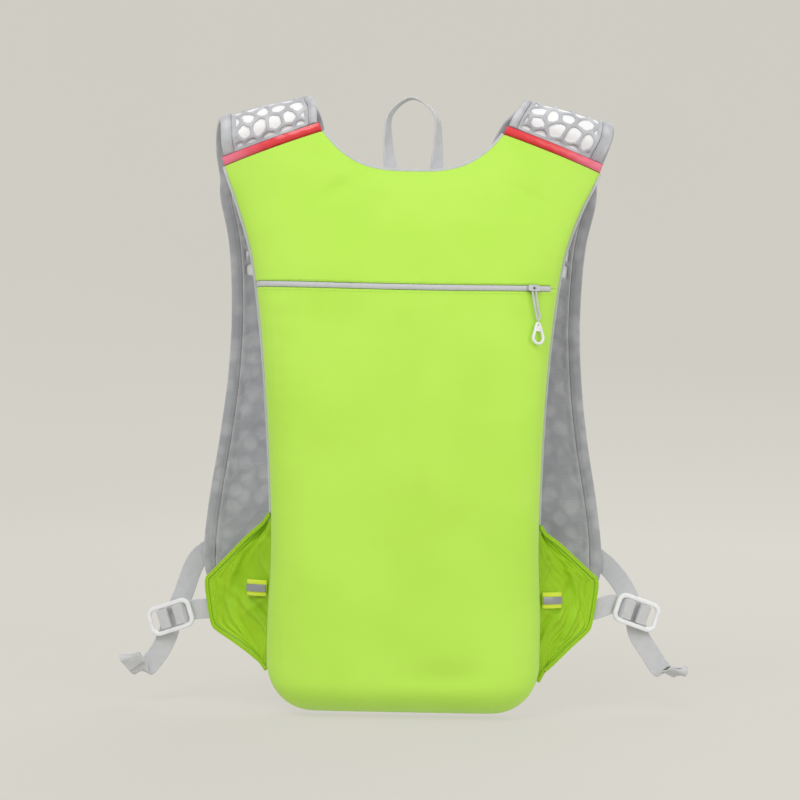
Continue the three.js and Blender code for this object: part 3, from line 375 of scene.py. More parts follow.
def ribbed_weave(name, colour, soil_and_groove_shade_colour, rib_pitch=1.5, thread_pitch=0.75, roughness=0.75):
    """Webbing: rows of thread humps, each second row moved by half a hump, with painted shade in the grooves."""
    finish = Finish(name, Specular_IOR_Level=0.3, Sheen_Weight=0.2, Sheen_Roughness=0.5)
    across, along = finish.cloth_map()
    row = along * (1 / rib_pitch)
    shifted = across * (1 / thread_pitch) + (row.fraction() > 0.5) * 0.5
    hump = (shifted * math.pi).sine().size() * (row * (2 * math.pi)).sine().size()
    soil = finish.noise(finish.place(), 6, 3.0)
    # (1 - hump) is painted shade in the grooves between the humps; soil is a random soiling of the tone.
    tone = (1 - hump) * 0.4 + soil.between(0.45, 0.8, 0.0, 0.2)
    finish.shade(
        Base_Color=finish.mixed(tone, colour, soil_and_groove_shade_colour),
        Roughness=soil.between(0.2, 0.8, roughness - 0.05, roughness + 0.1),
        Normal=finish.relief(hump, 0.25, 0.7),
    )
    return finish.material


lime_nylon = cloth("lime_nylon", paint(190, 238, 89), paint(177, 227, 70))
wing_nylon = cloth("wing_nylon", paint(170, 218, 22), paint(126, 180, 4), roughness=0.42, sheen=0.04, crease=0.8)
grey_tape = ribbed_weave("grey_tape", paint(214, 216, 220), paint(180, 182, 187), 0.9, 0.7)
webbing = ribbed_weave("webbing", paint(214, 215, 219), paint(168, 170, 176))
fluo_tape = ribbed_weave("fluo_tape", paint(236, 255, 72), paint(214, 240, 50), 0.8, 0.6, 0.6)
print("cloth finishes:", lime_nylon.name, wing_nylon.name, grey_tape.name, webbing.name, fluo_tape.name)


# %% Knit, foam and net
def strap_knit(name, colour, shade_colour, spot_pitch=1.1, chest=1.0, facets=0.0):
    """Brushed knit over foam: dents in staggered rows, painted shade between them and over the chest side, a slow tone
    change.
    """
    finish = Finish(name, Specular_IOR_Level=0.25, Sheen_Weight=0.35, Sheen_Roughness=0.5)
    across, along = finish.cloth_map()
    row = along * (1 / spot_pitch)
    dent = ((across * (math.pi / spot_pitch) + (row * 0.5).fraction().between(0.49, 0.51) * (math.pi / 2)).sine().size()
            * (row * math.pi).sine().size())
    drift = finish.noise(finish.place(), 22, 3.0)
    facet = finish.add("ShaderNodeTexVoronoi", {}, {"Vector": finish.place(), "Scale": 1 / 12})
    # (1 - dent) is painted shade in the low places between the dents; drift and facet are random changes of tone.
    tone = (1 - dent) * 0.2 + drift.between(0.3, 0.75, 0.0, 0.4) + facet.between(0.25, 0.65, 0.0, 0.5) * facets
    # darker scales both colours down: painted shade over the chest side, from 70 to 150 mm along the strap.
    darker = lambda value: (*(np.array(value[:3]) * chest).tolist(), 1.0)
    finish.shade(
        Base_Color=finish.mixed(along.between(70, 150), finish.mixed(tone, colour, shade_colour),
                                finish.mixed(tone, darker(colour), darker(shade_colour))),
        Roughness=drift.between(0.2, 0.8, 0.72, 0.88),
        Normal=finish.relief(dent + drift * 0.8 + facet * (3 * facets), 0.3, 0.5),
    )
    return finish.material


def spacer_mesh(name, colour, hole_shade_colour, pitch=4.2):
    """Air mesh: round holes in staggered rows, with painted shade in their depth."""
    finish = Finish(name, Specular_IOR_Level=0.25, Sheen_Weight=0.2, Sheen_Roughness=0.5)
    across, along = finish.cloth_map()
    row = along * (1 / (pitch * 0.87))
    lane = across * (1 / pitch) + ((row * 0.5).fraction() > 0.5) * 0.5
    from_side = (lane.fraction() - 0.5) * 2
    from_row = (row.fraction() - 0.5) * 2
    reach = (from_side * from_side + from_row * from_row)
    wall = reach.between(0.18, 0.5)
    drift = finish.noise(finish.place(), 30, 2.0)
    # The holes are painted in shade; drift is a random change of tone on the walls.
    finish.shade(
        Base_Color=finish.mixed(wall * (1 - drift * 0.25), hole_shade_colour, colour),
        Roughness=drift.between(0.2, 0.8, 0.8, 0.92),
        Normal=finish.relief(wall, 1.2, 0.8),
    )
    return finish.material


grey_knit = strap_knit("grey_knit", paint(210, 212, 216), paint(178, 180, 186), chest=0.82, facets=1.0)
pale_net = strap_knit("pale_net", paint(252, 252, 253), paint(232, 234, 238), 1.6)
pad_mesh = spacer_mesh("pad_mesh", paint(178, 180, 184), paint(96, 98, 103))
print("knit finishes:", grey_knit.name, pale_net.name, pad_mesh.name)


# %% Trim, plastic and metal
def moulded(name, colour, worn_colour, roughness, metal=0.0, coat=0.0):
    """Plastic or metal with faint flow marks and a slightly worn, duller grain."""
    finish = Finish(name, Metallic=metal, Specular_IOR_Level=0.5, Coat_Weight=coat, Coat_Roughness=0.2)
    place = finish.place()
    flow = finish.noise(place, 5, 3.0)
    grain = finish.noise(place, 0.5, 2.0)
    finish.shade(
        Base_Color=finish.mixed(flow.between(0.4, 0.8, 0.0, 0.6), colour, worn_colour),
        Roughness=grain.between(0.2, 0.8, roughness - 0.06, roughness + 0.08),
        Normal=finish.relief(grain + flow * 2, 0.08, 0.5),
    )
    return finish.material


def red_binding(name):
    """Glossy coated binding: a painted highlight pales its outer ends, painted shade darkens its edges, a fine rib runs
    along.
    """
    finish = Finish(name, Specular_IOR_Level=0.6, Coat_Weight=0.6, Coat_Roughness=0.15)
    across, along = finish.cloth_map()
    rib = (across * (math.pi / 0.8)).sine().size()
    # Painted highlight: the trim turns paler pink towards its outer end.
    painted_highlight = (finish.noise(finish.place(), 12, 2.0) * 14 + along).between(44, 92)
    colour = finish.mixed(painted_highlight, paint(226, 34, 48), paint(238, 118, 146))
    # Painted shade darkens both edges of the binding.
    edge = across.size().between(2.9, 3.5)
    finish.shade(
        Base_Color=finish.mixed(edge, colour, paint(128, 22, 34)),
        Roughness=rib.between(0, 1, 0.38, 0.3),
        Normal=finish.relief(rib, 0.12, 0.5),
    )
    return finish.material


def glass_bead_stripe(name):
    """Reflective stripe: a grey film with a fine bright speckle."""
    finish = Finish(name, Metallic=0.35, Specular_IOR_Level=0.6)
    speckle = finish.noise(finish.place(), 0.35, 2.0)
    finish.shade(
        Base_Color=finish.mixed(speckle.between(0.35, 0.7), paint(140, 142, 148), paint(168, 170, 176)),
        Roughness=speckle.between(0.2, 0.8, 0.28, 0.42),
        Normal=finish.relief(speckle, 0.05, 0.5),
    )
    return finish.material


pale_plastic = moulded("pale_plastic", paint(232, 233, 237), paint(214, 215, 220), 0.34, coat=0.15)
slider_metal = moulded("slider_metal", paint(178, 180, 184), paint(150, 152, 157), 0.38, metal=0.3)
red_trim = red_binding("red_trim")
reflective = glass_bead_stripe("reflective")
sewing_thread = ribbed_weave("sewing_thread", paint(205, 207, 211), paint(160, 162, 168), 0.5, 0.4)
lime_thread = ribbed_weave("lime_thread", paint(205, 248, 110), paint(160, 214, 60), 0.5, 0.4)
print("hard finishes:", pale_plastic.name, slider_metal.name, red_trim.name, reflective.name)

# %% [markdown]
# ## The bag's form
# A filled bag is flat in the middle, rolls over at its sides and its bottom edge, and thins out towards the
# shoulders. Its outline is a short table of half widths against height, its stand-off another one, and a smooth
# curve runs through both. The surfaces below use the same named sizes as the frame.

# %% Outline and stand-off of the bag
BAG_HEIGHT = 405
BAG_HALF_WIDTH = 100
LEFT_SWELL = 4.7
BAG_DEPTH = 34
SECTION_POWER = 5
CORNER_RADIUS = 37
ROLL_RADIUS = 24
WALL = 1.2
PAD_THICKNESS = 8
GAP = 0.3
SHOULDER_HALF_WIDTH = 142
NECK_HALF_WIDTH = 68
NECK_SHARE = NECK_HALF_WIDTH / SHOULDER_HALF_WIDTH
NECK_HEIGHT = 400.5
YOKE_INNER_HEIGHT = 430.6
EDGE_DEPTH = 4
SIDE_OUTLINE = [
    (0.09, 1.006), (0.17, 1.006), (0.31, 0.984), (0.5, 0.999), (0.64, 1.032), (0.75, 1.08), (0.825, 1.128),
    (0.862, 1.169), (0.898, 1.221), (0.935, 1.287), (0.971, 1.361), (1, 1.42),
]
SWELL_PROFILE = [(0.25, 0), (0.345, 0.21), (0.457, 0.5), (0.6, 0.85), (0.75, 1), (0.89, 0.95), (0.95, 0.5), (1, 0)]
DEPTH_PROFILE = [(0, 0.96), (0.3, 1), (0.5, 0.94), (0.65, 0.8), (0.78, 0.62), (0.87, 0.42), (0.95, 0.28), (1.08, 0.2)]
# Each fold: middle across and up, direction in degrees, half length, half width, depth
COVER_FOLDS = [
    (-52, 387, 32, 26, 9, 3.2), (89, 382, -28, 30, 9, 2.6), (-70, 296, 80, 30, 12, 1.5), (30, 30, 4, 40, 12, 1.8),
]


def from_table(rows, at, column=1):
    """Between two rows a cubic whose end slopes are those of the chords over the neighbouring rows."""
    table = np.asarray(rows, float)
    keys, values = table[:, 0], table[:, column]
    last = len(keys) - 1
    at = np.clip(np.asarray(at, float), keys[0], keys[-1])
    row = np.clip(np.searchsorted(keys, at) - 1, 0, last - 1)
    chord = lambda a, b: (values[b] - values[a]) / (keys[b] - keys[a])
    span = keys[row + 1] - keys[row]
    share = (at - keys[row]) / span
    start = chord(np.maximum(row - 1, 0), row + 1) * span
    end = chord(row, np.minimum(row + 2, last)) * span
    square, cube = share ** 2, share ** 3
    return ((2 * cube - 3 * square + 1) * values[row] + (cube - 2 * square + share) * start
            + (3 * square - 2 * cube) * values[row + 1] + (cube - square) * end)


def half_width(height, side=1.0):
    """Table value at that height, with the left side's swell, less the corner radius, plus the corner's circle."""
    share = np.asarray(height, float) / BAG_HEIGHT
    below = np.clip(CORNER_RADIUS - share * BAG_HEIGHT, 0, CORNER_RADIUS)
    swollen = LEFT_SWELL * from_table(SWELL_PROFILE, share) * (np.asarray(side) < 0)
    wide = BAG_HALF_WIDTH * from_table(SIDE_OUTLINE, share) + swollen
    return wide - CORNER_RADIUS + np.sqrt(CORNER_RADIUS ** 2 - below ** 2)


def seam_depth(x, height):
    """Zero in the flat middle, a parabola round the ribs beyond 60, and one over the shoulders above 325."""
    return np.maximum(np.abs(x) - 60, 0) ** 2 / 240 + np.maximum(np.asarray(height) - 325, 0) ** 2 / 520


def ease(value, low, high):
    """Smooth step: 3 t squared less 2 t cubed, with t the clipped share of the way from low to high."""
    t = np.clip((np.asarray(value, float) - low) / (high - low), 0, 1)
    return t * t * (3 - 2 * t)


def fold_dent(x, height):
    """Sum of long Gaussian dents, each turned to its own direction."""
    total = np.zeros(np.broadcast(x, height).shape)
    for middle, up, turn, length, width, depth in COVER_FOLDS:
        turn = math.radians(turn)
        dx, dz = x - middle, height - up
        along = (dx * math.cos(turn) + dz * math.sin(turn)) / length
        across = (dz * math.cos(turn) - dx * math.sin(turn)) / width
        total += depth * np.exp(-2 * (along ** 2 + across ** 2))
    return total


def cover_point(share, height, closing=0.0, lift=0.0):
    """x is a share of the half width; the stand-off is the profile times the fifth-power arch across the bag."""
    share, height = np.broadcast_arrays(np.asarray(share, float), np.asarray(height, float))
    x = share * half_width(height, share)
    bulge = (1 - np.minimum(np.abs(share), 1) ** SECTION_POWER) ** (1 / SECTION_POWER)
    full = BAG_DEPTH * from_table(DEPTH_PROFILE, height / BAG_HEIGHT)
    below = 1 - np.clip(height / ROLL_RADIUS, 0, 1)
    stand = (full + (EDGE_DEPTH - full) * closing) * np.sqrt(1 - below ** 2)
    stand = np.maximum(stand - fold_dent(x, height) + lift, 0) * bulge
    return np.stack([x, seam_depth(x, height) - GAP - stand, height], -1)


print("bag is", 2 * round(float(half_width(200))), "mm wide at half height")

# %% [markdown]
# ## Covers
# The lime cover is one cloth cut in two by the cross zip. Real nylon never lies quite even: it pulls in along its
# seams and swells softly between them. Those swells are a few slow waves, and short puckers fade in from the seams.

# %% Lime covers
ZIP_HEIGHT = 314.5
ZIP_SAG = 1.2
ZIP_BAND_WIDTH = 4
ZIP_END = 103
ZIP_SHARE = ZIP_END / float(half_width(ZIP_HEIGHT))


def zip_line(share):
    """The zip's height less its sag, which fades with the square of the share."""
    return ZIP_HEIGHT - ZIP_SAG * (1 - np.asarray(share) ** 2)


def zip_lip(share):
    """Half the slot's height: the band's half width as far as the zip goes, then closed in a short taper."""
    wide, shut = ZIP_BAND_WIDTH / 2 + GAP, 0.02
    return shut + (wide - shut) * (1 - ease(share, ZIP_SHARE, ZIP_SHARE + 0.008))


def yoke_top(share):
    """Round neckline up to the neck share, then the straight shoulder seam."""
    beyond = np.abs(share)
    neck = NECK_HEIGHT + (YOKE_INNER_HEIGHT - NECK_HEIGHT) * (beyond / NECK_SHARE) ** 3.1
    seam = YOKE_INNER_HEIGHT + (BAG_HEIGHT - YOKE_INNER_HEIGHT) * (beyond - NECK_SHARE) / (1 - NECK_SHARE)
    return np.where(beyond <= NECK_SHARE, neck, seam)


def swell(x, height):
    """Slow waves in three directions, under a millimetre high."""
    return (0.45 * np.sin(x / 19 + height / 47) * np.sin(height / 31 - x / 60)
            + 0.3 * np.sin(x / 11 - height / 24 + 1.3) + 0.2 * np.sin(height / 9 + x / 17))


def pucker(along, distance, pitch, reach, depth):
    """A short wave along a seam that fades with the distance from it."""
    return depth * np.sin(2 * np.pi * along / pitch + np.sin(along / 13)) * np.exp(-distance / reach)


def edge_shares(count, power=2.2):
    """Shares from -1 to 1, closer together towards both ends."""
    even = np.linspace(-1, 1, count)
    return np.sign(even) * (1 - (1 - np.abs(even)) ** power)


def cover_sheet(share, height, closing, seams):
    """Outer face from the cover's form with swells and puckers, inner face a wall behind it."""
    x = share * half_width(height, share)
    arch = 1 - np.abs(share) ** 6
    lift = (swell(x, height) + seams(x, height)) * arch * ease(height, 2, 30) * (1 - closing)
    outer = cover_point(share, height, closing, lift)
    sideways = np.sign(share) * WALL * np.abs(share) ** SECTION_POWER
    stand = np.maximum(seam_depth(x, height) - GAP - outer[..., 1] - WALL, 0)
    inner_x = outer[..., 0] - sideways
    inner = np.stack([inner_x, seam_depth(inner_x, height) - GAP - stand, height], -1)
    inner[..., 2] += WALL * np.clip(1 - height / ROLL_RADIUS, 0, 1)
    return outer, inner, np.stack([x, height], -1)


cover_columns = edge_shares(181)
rolled = (1 - np.cos(np.linspace(0, np.pi / 2, 22))) * 0.12
cover_rows = np.concatenate([rolled, np.linspace(0.12, 1, 130)[1:]])
share_grid = np.broadcast_to(cover_columns, (len(cover_rows), len(cover_columns)))
low_height = cover_rows[:, None] * (zip_line(share_grid) - zip_lip(share_grid))
low = cover_sheet(share_grid, low_height, np.zeros_like(low_height), lambda x, h: (
    pucker(x, ZIP_HEIGHT - h, 9, 5, 0.35) + pucker(h, 100 - np.abs(x), 14, 9, 0.5)))
pack_cover = new_piece("pack_cover_cloth", *two_faced(*low), lime_nylon, "lime_nylon", ["pack_cover"])

yoke_rows = np.concatenate([np.linspace(0, 0.8, 60), np.linspace(0.8, 1, 30)[1:]])
share_grid = np.broadcast_to(cover_columns, (len(yoke_rows), len(cover_columns)))
foot = zip_line(share_grid) + zip_lip(share_grid)
high_height = foot + yoke_rows[:, None] * (yoke_top(share_grid) - foot)
closing = ease(yoke_rows, 0.8, 1)[:, None] * np.ones_like(share_grid)
high = cover_sheet(share_grid, high_height, closing, lambda x, h: (
    pucker(x, h - ZIP_HEIGHT, 11, 5, 0.3) + pucker(h, half_width(h, x) - np.abs(x), 13, 8, 0.3)))
yoke_cover = new_piece("yoke_cover_cloth", *two_faced(*high), lime_nylon, "lime_nylon", ["yoke_cover"])

# %% [markdown]
# ## Back pad
# The pad that lies on the wearer's back is spacer mesh over foam. It is a crowned closed form with two sewn
# channels down its length, where air can pass, and it thins towards its bound edges.


# %% Back pad
def back_pad_sheet():
    """Seam surface moved back by the pad's thickness; the thickness dips at two channels and at the edges."""
    columns = edge_shares(141, 1.8)
    rows = np.linspace(0, 1, 190)
    share = np.broadcast_to(columns, (len(rows), len(columns)))
    height = rows[:, None] * (yoke_top(share) - 0.5)
    x = share * half_width(height, share)
    front = np.stack([x, seam_depth(x, height), height], -1)
    edge = np.minimum(half_width(height) * (1 - np.abs(share)), np.minimum(height, yoke_top(share) - height))
    channel = np.exp(-((np.abs(x) - 34) / 3.5) ** 2) * ease(height, 20, 50) * ease(height, 400, 360)
    cross = np.exp(-((height - 235) / 3.5) ** 2) * ease(np.abs(x), 92, 80)
    thick = PAD_THICKNESS * (0.62 + 0.38 * ease(edge, 0, 9)) - 3.2 * np.maximum(channel, cross)
    thick = thick + 0.25 * np.sin(x / 9) * np.sin(height / 12) * ease(edge, 2, 14)
    back = front + np.stack([np.zeros_like(x), np.minimum(thick, PAD_THICKNESS + 0.2), np.zeros_like(x)], -1)
    return back, front, np.stack([x, height], -1)


back_pad = new_piece("back_pad_mesh", *two_faced(*back_pad_sheet()), pad_mesh, "grey_mesh", ["back_pad"])

# %% [markdown]
# ## Edge tapes
# Woven tape closes the raw edges of cover and pad at the neckline and down both armholes. It is a narrow section
# with rounded corners, carried along the same edge that the cover ends on.

# %% Neckline and armhole tapes
TAPE_WIDTH = 1.7
TAPE_LAP = 0.6
WING_TOP = 139
WING_SWAY = 2.6


def directions(path):
    """Unit tangent at each point, from the difference of its neighbours."""
    return unit(np.gradient(path, axis=0))


def neck_tape():
    """Top edge of the yoke between the neck shares; side is the edge's own normal, face looks to the front."""
    share = np.linspace(-NECK_SHARE, NECK_SHARE, 120)
    height = yoke_top(share)
    x = share * half_width(height, share)
    path = np.stack([x, seam_depth(x, height), height], -1)
    run = directions(path)
    run[0], run[-1] = run[1], run[-2]
    up = unit(np.cross(run, np.broadcast_to([0, 1.0, 0], run.shape)) * [1, 0, 1])
    up = up * np.sign(up[:, 2:3])
    front = np.broadcast_to([0.0, -1, 0], path.shape)
    section = rounded_section(TAPE_WIDTH + TAPE_LAP, PAD_THICKNESS + EDGE_DEPTH - 0.4, 0.7)
    middle = path + up * (GAP + (TAPE_WIDTH - TAPE_LAP) / 2) + front * ((EDGE_DEPTH - PAD_THICKNESS) / 2)
    return swept(middle, up, front, section)


def armhole_tape(sign):
    """Side edge of the bag from above the wing to the shoulder seam."""
    height = np.linspace(WING_TOP - sign * WING_SWAY + GAP + 3, BAG_HEIGHT, 150)
    wide = half_width(height, sign)
    path = np.stack([sign * wide, seam_depth(wide, height), height], -1)
    run = directions(path)
    out = unit(np.stack([run[:, 2], np.zeros(len(run)), -run[:, 0]], -1))
    out = out * np.sign(out[:, :1]) * sign
    front = np.broadcast_to([0.0, -1, 0], path.shape)
    section = rounded_section(TAPE_WIDTH + TAPE_LAP, PAD_THICKNESS + 1.6, 0.7)
    middle = path + out * (GAP + (TAPE_WIDTH - TAPE_LAP) / 2) + front * ((0.9 - PAD_THICKNESS) / 2)
    return swept(middle, out, front, section)


new_piece("neck_binding_tape", *neck_tape(), grey_tape, "grey_tape", ["neck_binding"])
for side_name, sign in (("left", -1), ("right", 1)):
    new_piece(f"{side_name}_armhole_tape", *armhole_tape(sign), grey_tape, "grey_tape",
              [f"{side_name}_armhole_binding"])

# %% [markdown]
# ## Shoulder trims
# A red coated binding is folded over each shoulder seam. It is wider than it is thick, crowned, and its edges are
# stitched down, so the section is a low arch with a thin lip on both sides.

# %% Red trims
TRIM_WIDTH = 7.5
TRIM_DEPTH = 4.4
SEAM_RUN = np.array([SHOULDER_HALF_WIDTH - NECK_HALF_WIDTH, 0, BAG_HEIGHT - YOKE_INNER_HEIGHT])
SEAM_UP = unit(np.array([-SEAM_RUN[2], 0, SEAM_RUN[0]]))


def seam_place(share, rise):
    """Straight line between the seam's two ends, moved square to itself by the rise."""
    share = np.asarray(share, float)[..., None]
    return np.array([NECK_HALF_WIDTH, 0, YOKE_INNER_HEIGHT]) + share * SEAM_RUN + rise * SEAM_UP


def shoulder_trim(sign):
    """Arch section: the front lies between the lip depth and the trim depth, as a cosine across its width."""
    share = np.linspace(0, 1, 90)
    path = seam_place(share, (GAP + TRIM_WIDTH) / 2)
    path[:, 1] = seam_depth(path[:, 0], path[:, 2])
    path = path * [sign, 1, 1]
    up = np.broadcast_to(SEAM_UP * [sign, 1, 1], path.shape)
    front = np.broadcast_to([0.0, -1, 0], path.shape)
    across = np.linspace(-1, 1, 17)
    arch = TRIM_DEPTH - 1.1 * (1 - np.cos(across * np.pi / 2)) - 0.25 * np.exp(-((np.abs(across) - 0.78) / 0.06) ** 2)
    half = (TRIM_WIDTH - GAP) / 2
    crowned = np.stack([across * half, arch], -1)
    under = np.array([[half, -PAD_THICKNESS + 0.3], [-half, -PAD_THICKNESS + 0.3]])
    section = np.broadcast_to(np.concatenate([crowned, under]), (len(path), 19, 2)).copy()
    section[:, :17, 1] += 0.12 * np.sin(share * 46)[:, None] * np.sin(across * 2)
    return swept(path, up, front, section)


for side_name, sign in (("left", -1), ("right", 1)):
    new_piece(f"{side_name}_red_trim", *shoulder_trim(sign), red_trim, "red_trim", [f"{side_name}_yoke_trim"])

# %% [markdown]
# ## Cross zip
# The closed zip shows as one pale strip across the bag, a rolled coil under cloth. The strip stands a millimetre
# proud with soft shoulders, and its teeth show as faint steps along its middle.

# %% Zip strip
ZIP_BAND_PROUD = 1
ZIP_BAND_DEPTH = 1.6


def zip_strip():
    """Section of a low arch carried along the zip's line; the arch's height ripples with the teeth."""
    share = np.linspace(-0.997, ZIP_SHARE + 0.004, 620)
    base = cover_point(share, zip_line(share))
    path = np.stack([base[:, 0], base[:, 1], zip_line(share)], -1)
    across = np.linspace(-1, 1, 9)
    half = ZIP_BAND_WIDTH / 2
    arch = ZIP_BAND_PROUD * np.cos(across * np.pi / 2) ** 0.7
    teeth = 0.1 * np.sin(2 * np.pi * path[:, 0] / 1.6)[:, None] * np.exp(-(across / 0.3) ** 2)
    crowned = np.stack([np.broadcast_to(across * half, teeth.shape), arch + teeth], -1)
    under = np.broadcast_to([[half, -ZIP_BAND_DEPTH], [-half, -ZIP_BAND_DEPTH]], (len(path), 2, 2))
    section = np.concatenate([crowned, under], 1)
    up = np.broadcast_to([0.0, 0, 1], path.shape)
    front = np.broadcast_to([0.0, -1, 0], path.shape)
    return swept(path, up, front, section)


new_piece("zip_strip", *zip_strip(), grey_tape, "grey_tape", ["zip_band"])

# %% [markdown]
# ## Straps
# Each strap is pierced foam under knit. It starts at the shoulder seam, goes up over the shoulder and down the
# chest. A table of cross lines gives its run: where its two edges lie, how high and how deep. Between them the strap
# is a grid of places along and across, and the same grid serves pad, hems and net.

# %% Run of the straps
CREST_HEIGHT = 459
STRAP_REACH = 100
STRAP_THICKNESS = 4
STRAP_CROWN = 2.5
OUTER_HEM = 9
INNER_HEM = 6
HEM_THICKNESS = 4.8
HARNESS_SHIFT = -2.5
CREST_SHIFT = 3
# Shares: inner and outer edge of the shoulder half width, their heights of the crest height, depths of the reach
STRAP_SECTIONS = [
    (0.53, 1.042, 0.98, 0.932, 0.33, 0.46), (0.566, 1.06, 1, 0.962, 0.47, 0.57),
    (0.543, 1.078, 0.991, 0.954, 0.61, 0.68), (0.489, 1.07, 0.969, 0.924, 0.76, 0.81),
    (0.437, 1.04, 0.924, 0.88, 0.89, 0.91), (0.394, 1.035, 0.854, 0.839, 0.97, 0.97),
    (0.394, 0.985, 0.763, 0.763, 1, 1), (0.408, 0.963, 0.654, 0.654, 0.99, 0.99),
    (0.437, 0.972, 0.545, 0.545, 0.94, 0.94), (0.472, 1.008, 0.436, 0.436, 0.86, 0.86),
    (0.528, 1.059, 0.327, 0.327, 0.78, 0.78), (0.585, 1.083, 0.244, 0.24, 0.73, 0.73),
    (0.65, 1.055, 0.2, 0.196, 0.71, 0.71), (0.76, 0.98, 0.176, 0.174, 0.7, 0.7),
]


def strap_start(share):
    """Place on the trim's upper edge, half a pad deep."""
    at = seam_place(share, TRIM_WIDTH + GAP + HEM_THICKNESS * 0.15)
    return at[0], at[2], float(seam_depth(at[0], at[2])) + PAD_THICKNESS / 2


(first_in, first_out) = (strap_start(0.02), strap_start(0.98))
STRAP_ROWS = [(0, first_in[0] / SHOULDER_HALF_WIDTH, first_out[0] / SHOULDER_HALF_WIDTH,
               first_in[1] / CREST_HEIGHT, first_out[1] / CREST_HEIGHT,
               first_in[2] / STRAP_REACH, first_out[2] / STRAP_REACH)]
STRAP_ROWS += [(index + 1, *row) for index, row in enumerate(STRAP_SECTIONS)]
LAST_ROW = len(STRAP_ROWS) - 1


def strap_edge(sign, row, outer):
    """Inner or outer edge at a row, from the table; the chest side hangs a little to one side."""
    column = 2 if outer else 1
    depth = from_table(STRAP_ROWS, row, column + 4) * STRAP_REACH
    x = sign * from_table(STRAP_ROWS, row, column) * SHOULDER_HALF_WIDTH
    x = x + HARNESS_SHIFT * ease(depth, STRAP_REACH * 0.5, STRAP_REACH * 0.9)
    x = x + CREST_SHIFT * (ease(row, 0, 1.5) - ease(row, 3, 5))
    return np.stack([x, depth, from_table(STRAP_ROWS, row, column + 2) * CREST_HEIGHT], -1)


def strap_width(sign, row):
    return np.linalg.norm(strap_edge(sign, row, True) - strap_edge(sign, row, False), axis=-1)


def strap_point(sign, row, from_inner, through):
    """Inner edge plus a share of the way across, plus crown and offset along the strap's own normal."""
    row, from_inner, through = np.broadcast_arrays(*(np.asarray(v, float) for v in (row, from_inner, through)))
    inner, outer = strap_edge(sign, row, False), strap_edge(sign, row, True)
    across = outer - inner
    share = (from_inner / np.linalg.norm(across, axis=-1))[..., None]
    ahead = strap_edge(sign, row + 0.05, False) * (1 - share) + strap_edge(sign, row + 0.05, True) * share
    behind = strap_edge(sign, row - 0.05, False) * (1 - share) + strap_edge(sign, row - 0.05, True) * share
    normal = unit(np.cross(across, ahead - behind)) * sign
    crown = STRAP_CROWN * np.maximum(4 * share * (1 - share), 0) * ease(row, 0, 1.5)[..., None]
    return inner + across * share + normal * (crown + through[..., None])


def strap_length(sign):
    """Rows and the length along the strap's middle up to each."""
    rows = np.linspace(0, LAST_ROW, 281)
    middle = strap_point(sign, rows, strap_width(sign, rows) / 2, 0)
    steps = np.linalg.norm(np.diff(middle, axis=0), axis=1)
    return rows, np.concatenate([[0], np.cumsum(steps)]), middle


print("straps are", [round(float(strap_length(s)[1][-1])) for s in (-1, 1)], "mm long")

# %% [markdown]
# ## Honeycomb cells
# The foam is cut through in uneven cells that share thin webs, and lower down the same cells are only pressed in.
# Each place belongs to the nearest of many scattered middles, and a web runs where two middles are equally far. The
# signed distance to a cell's edge is negative inside the cell. Grid points near an edge move onto it, the squares
# inside are left out, and a wall joins front to back round every hole.

# %% Cell pattern and strap pads
CELL_PITCH = 13
CELL_WEB = 2.6
CELL_BORDER = 3
PIERCED_HEIGHT = 325


def uneven(a, b):
    """Repeatable number between -1 and 1: the fraction of a large sine."""
    wave = np.sin(a * 12.9898 + b * 78.233) * 43758.5453
    return 2 * (wave - np.floor(wave)) - 1


def cell_middles(sign):
    """Staggered rows of middles over the strap, each moved a little; the last value is 1 where cells are cut."""
    rows, length, middle = strap_length(sign)
    pierced = (middle[:, 2] > PIERCED_HEIGHT) | (middle[:, 1] < STRAP_REACH / 2)
    line, lane = np.meshgrid(np.arange(-1, int(length[-1] / (CELL_PITCH * 0.87)) + 2), np.arange(-1, 9), indexing="ij")
    seed = line * 17 + lane + 40 * (sign > 0)
    along = (line + 0.24 * uneven(seed, 1)) * CELL_PITCH * 0.87
    across = (lane + 0.5 * (line % 2) + 0.24 * uneven(seed, 2)) * CELL_PITCH
    return np.stack([along, across, along < length[pierced][-1]], -1).reshape(-1, 3)


def cell_distance(along, across, border, middles, cut, rounding=0.8):
    """Half a web less a soft least distance to the lines between the nearest middle and all others."""
    p = np.stack([along, across], -1).reshape(-1, 1, 2)
    square = ((p - middles[None, :, :2]) ** 2).sum(-1)
    nearest = square.argmin(1)
    spread = np.linalg.norm(middles[nearest, None, :2] - middles[None, :, :2], axis=-1)
    gap_to = (square - square.min(1, keepdims=True)) / (2 * np.maximum(spread, 1e-6))
    gap_to[np.arange(len(nearest)), nearest] = 99
    soft = -rounding * np.log(np.exp(-np.clip(gap_to / rounding, 0, 30)).sum(-1)).reshape(along.shape)
    inside = np.maximum(CELL_WEB / 2 - soft, CELL_BORDER - border)
    chosen = (middles[nearest, 2] > 0.5).reshape(along.shape) == cut
    return np.where(chosen, inside, np.maximum(CELL_WEB / 2 + soft, 0.7))


def strap_grid(sign, step=1.05):
    """Even grid of lengths along and distances from the inner edge, with the row for each length."""
    rows, length, _ = strap_length(sign)
    along = np.linspace(0, length[-1], int(length[-1] / step))
    row = np.interp(along, length, rows)
    share = np.linspace(0, 1, 52)
    wide = strap_width(sign, row)
    return along[:, None] * np.ones(52), row[:, None] * np.ones(52), share[None, :] * np.ones((len(row), 1)), wide


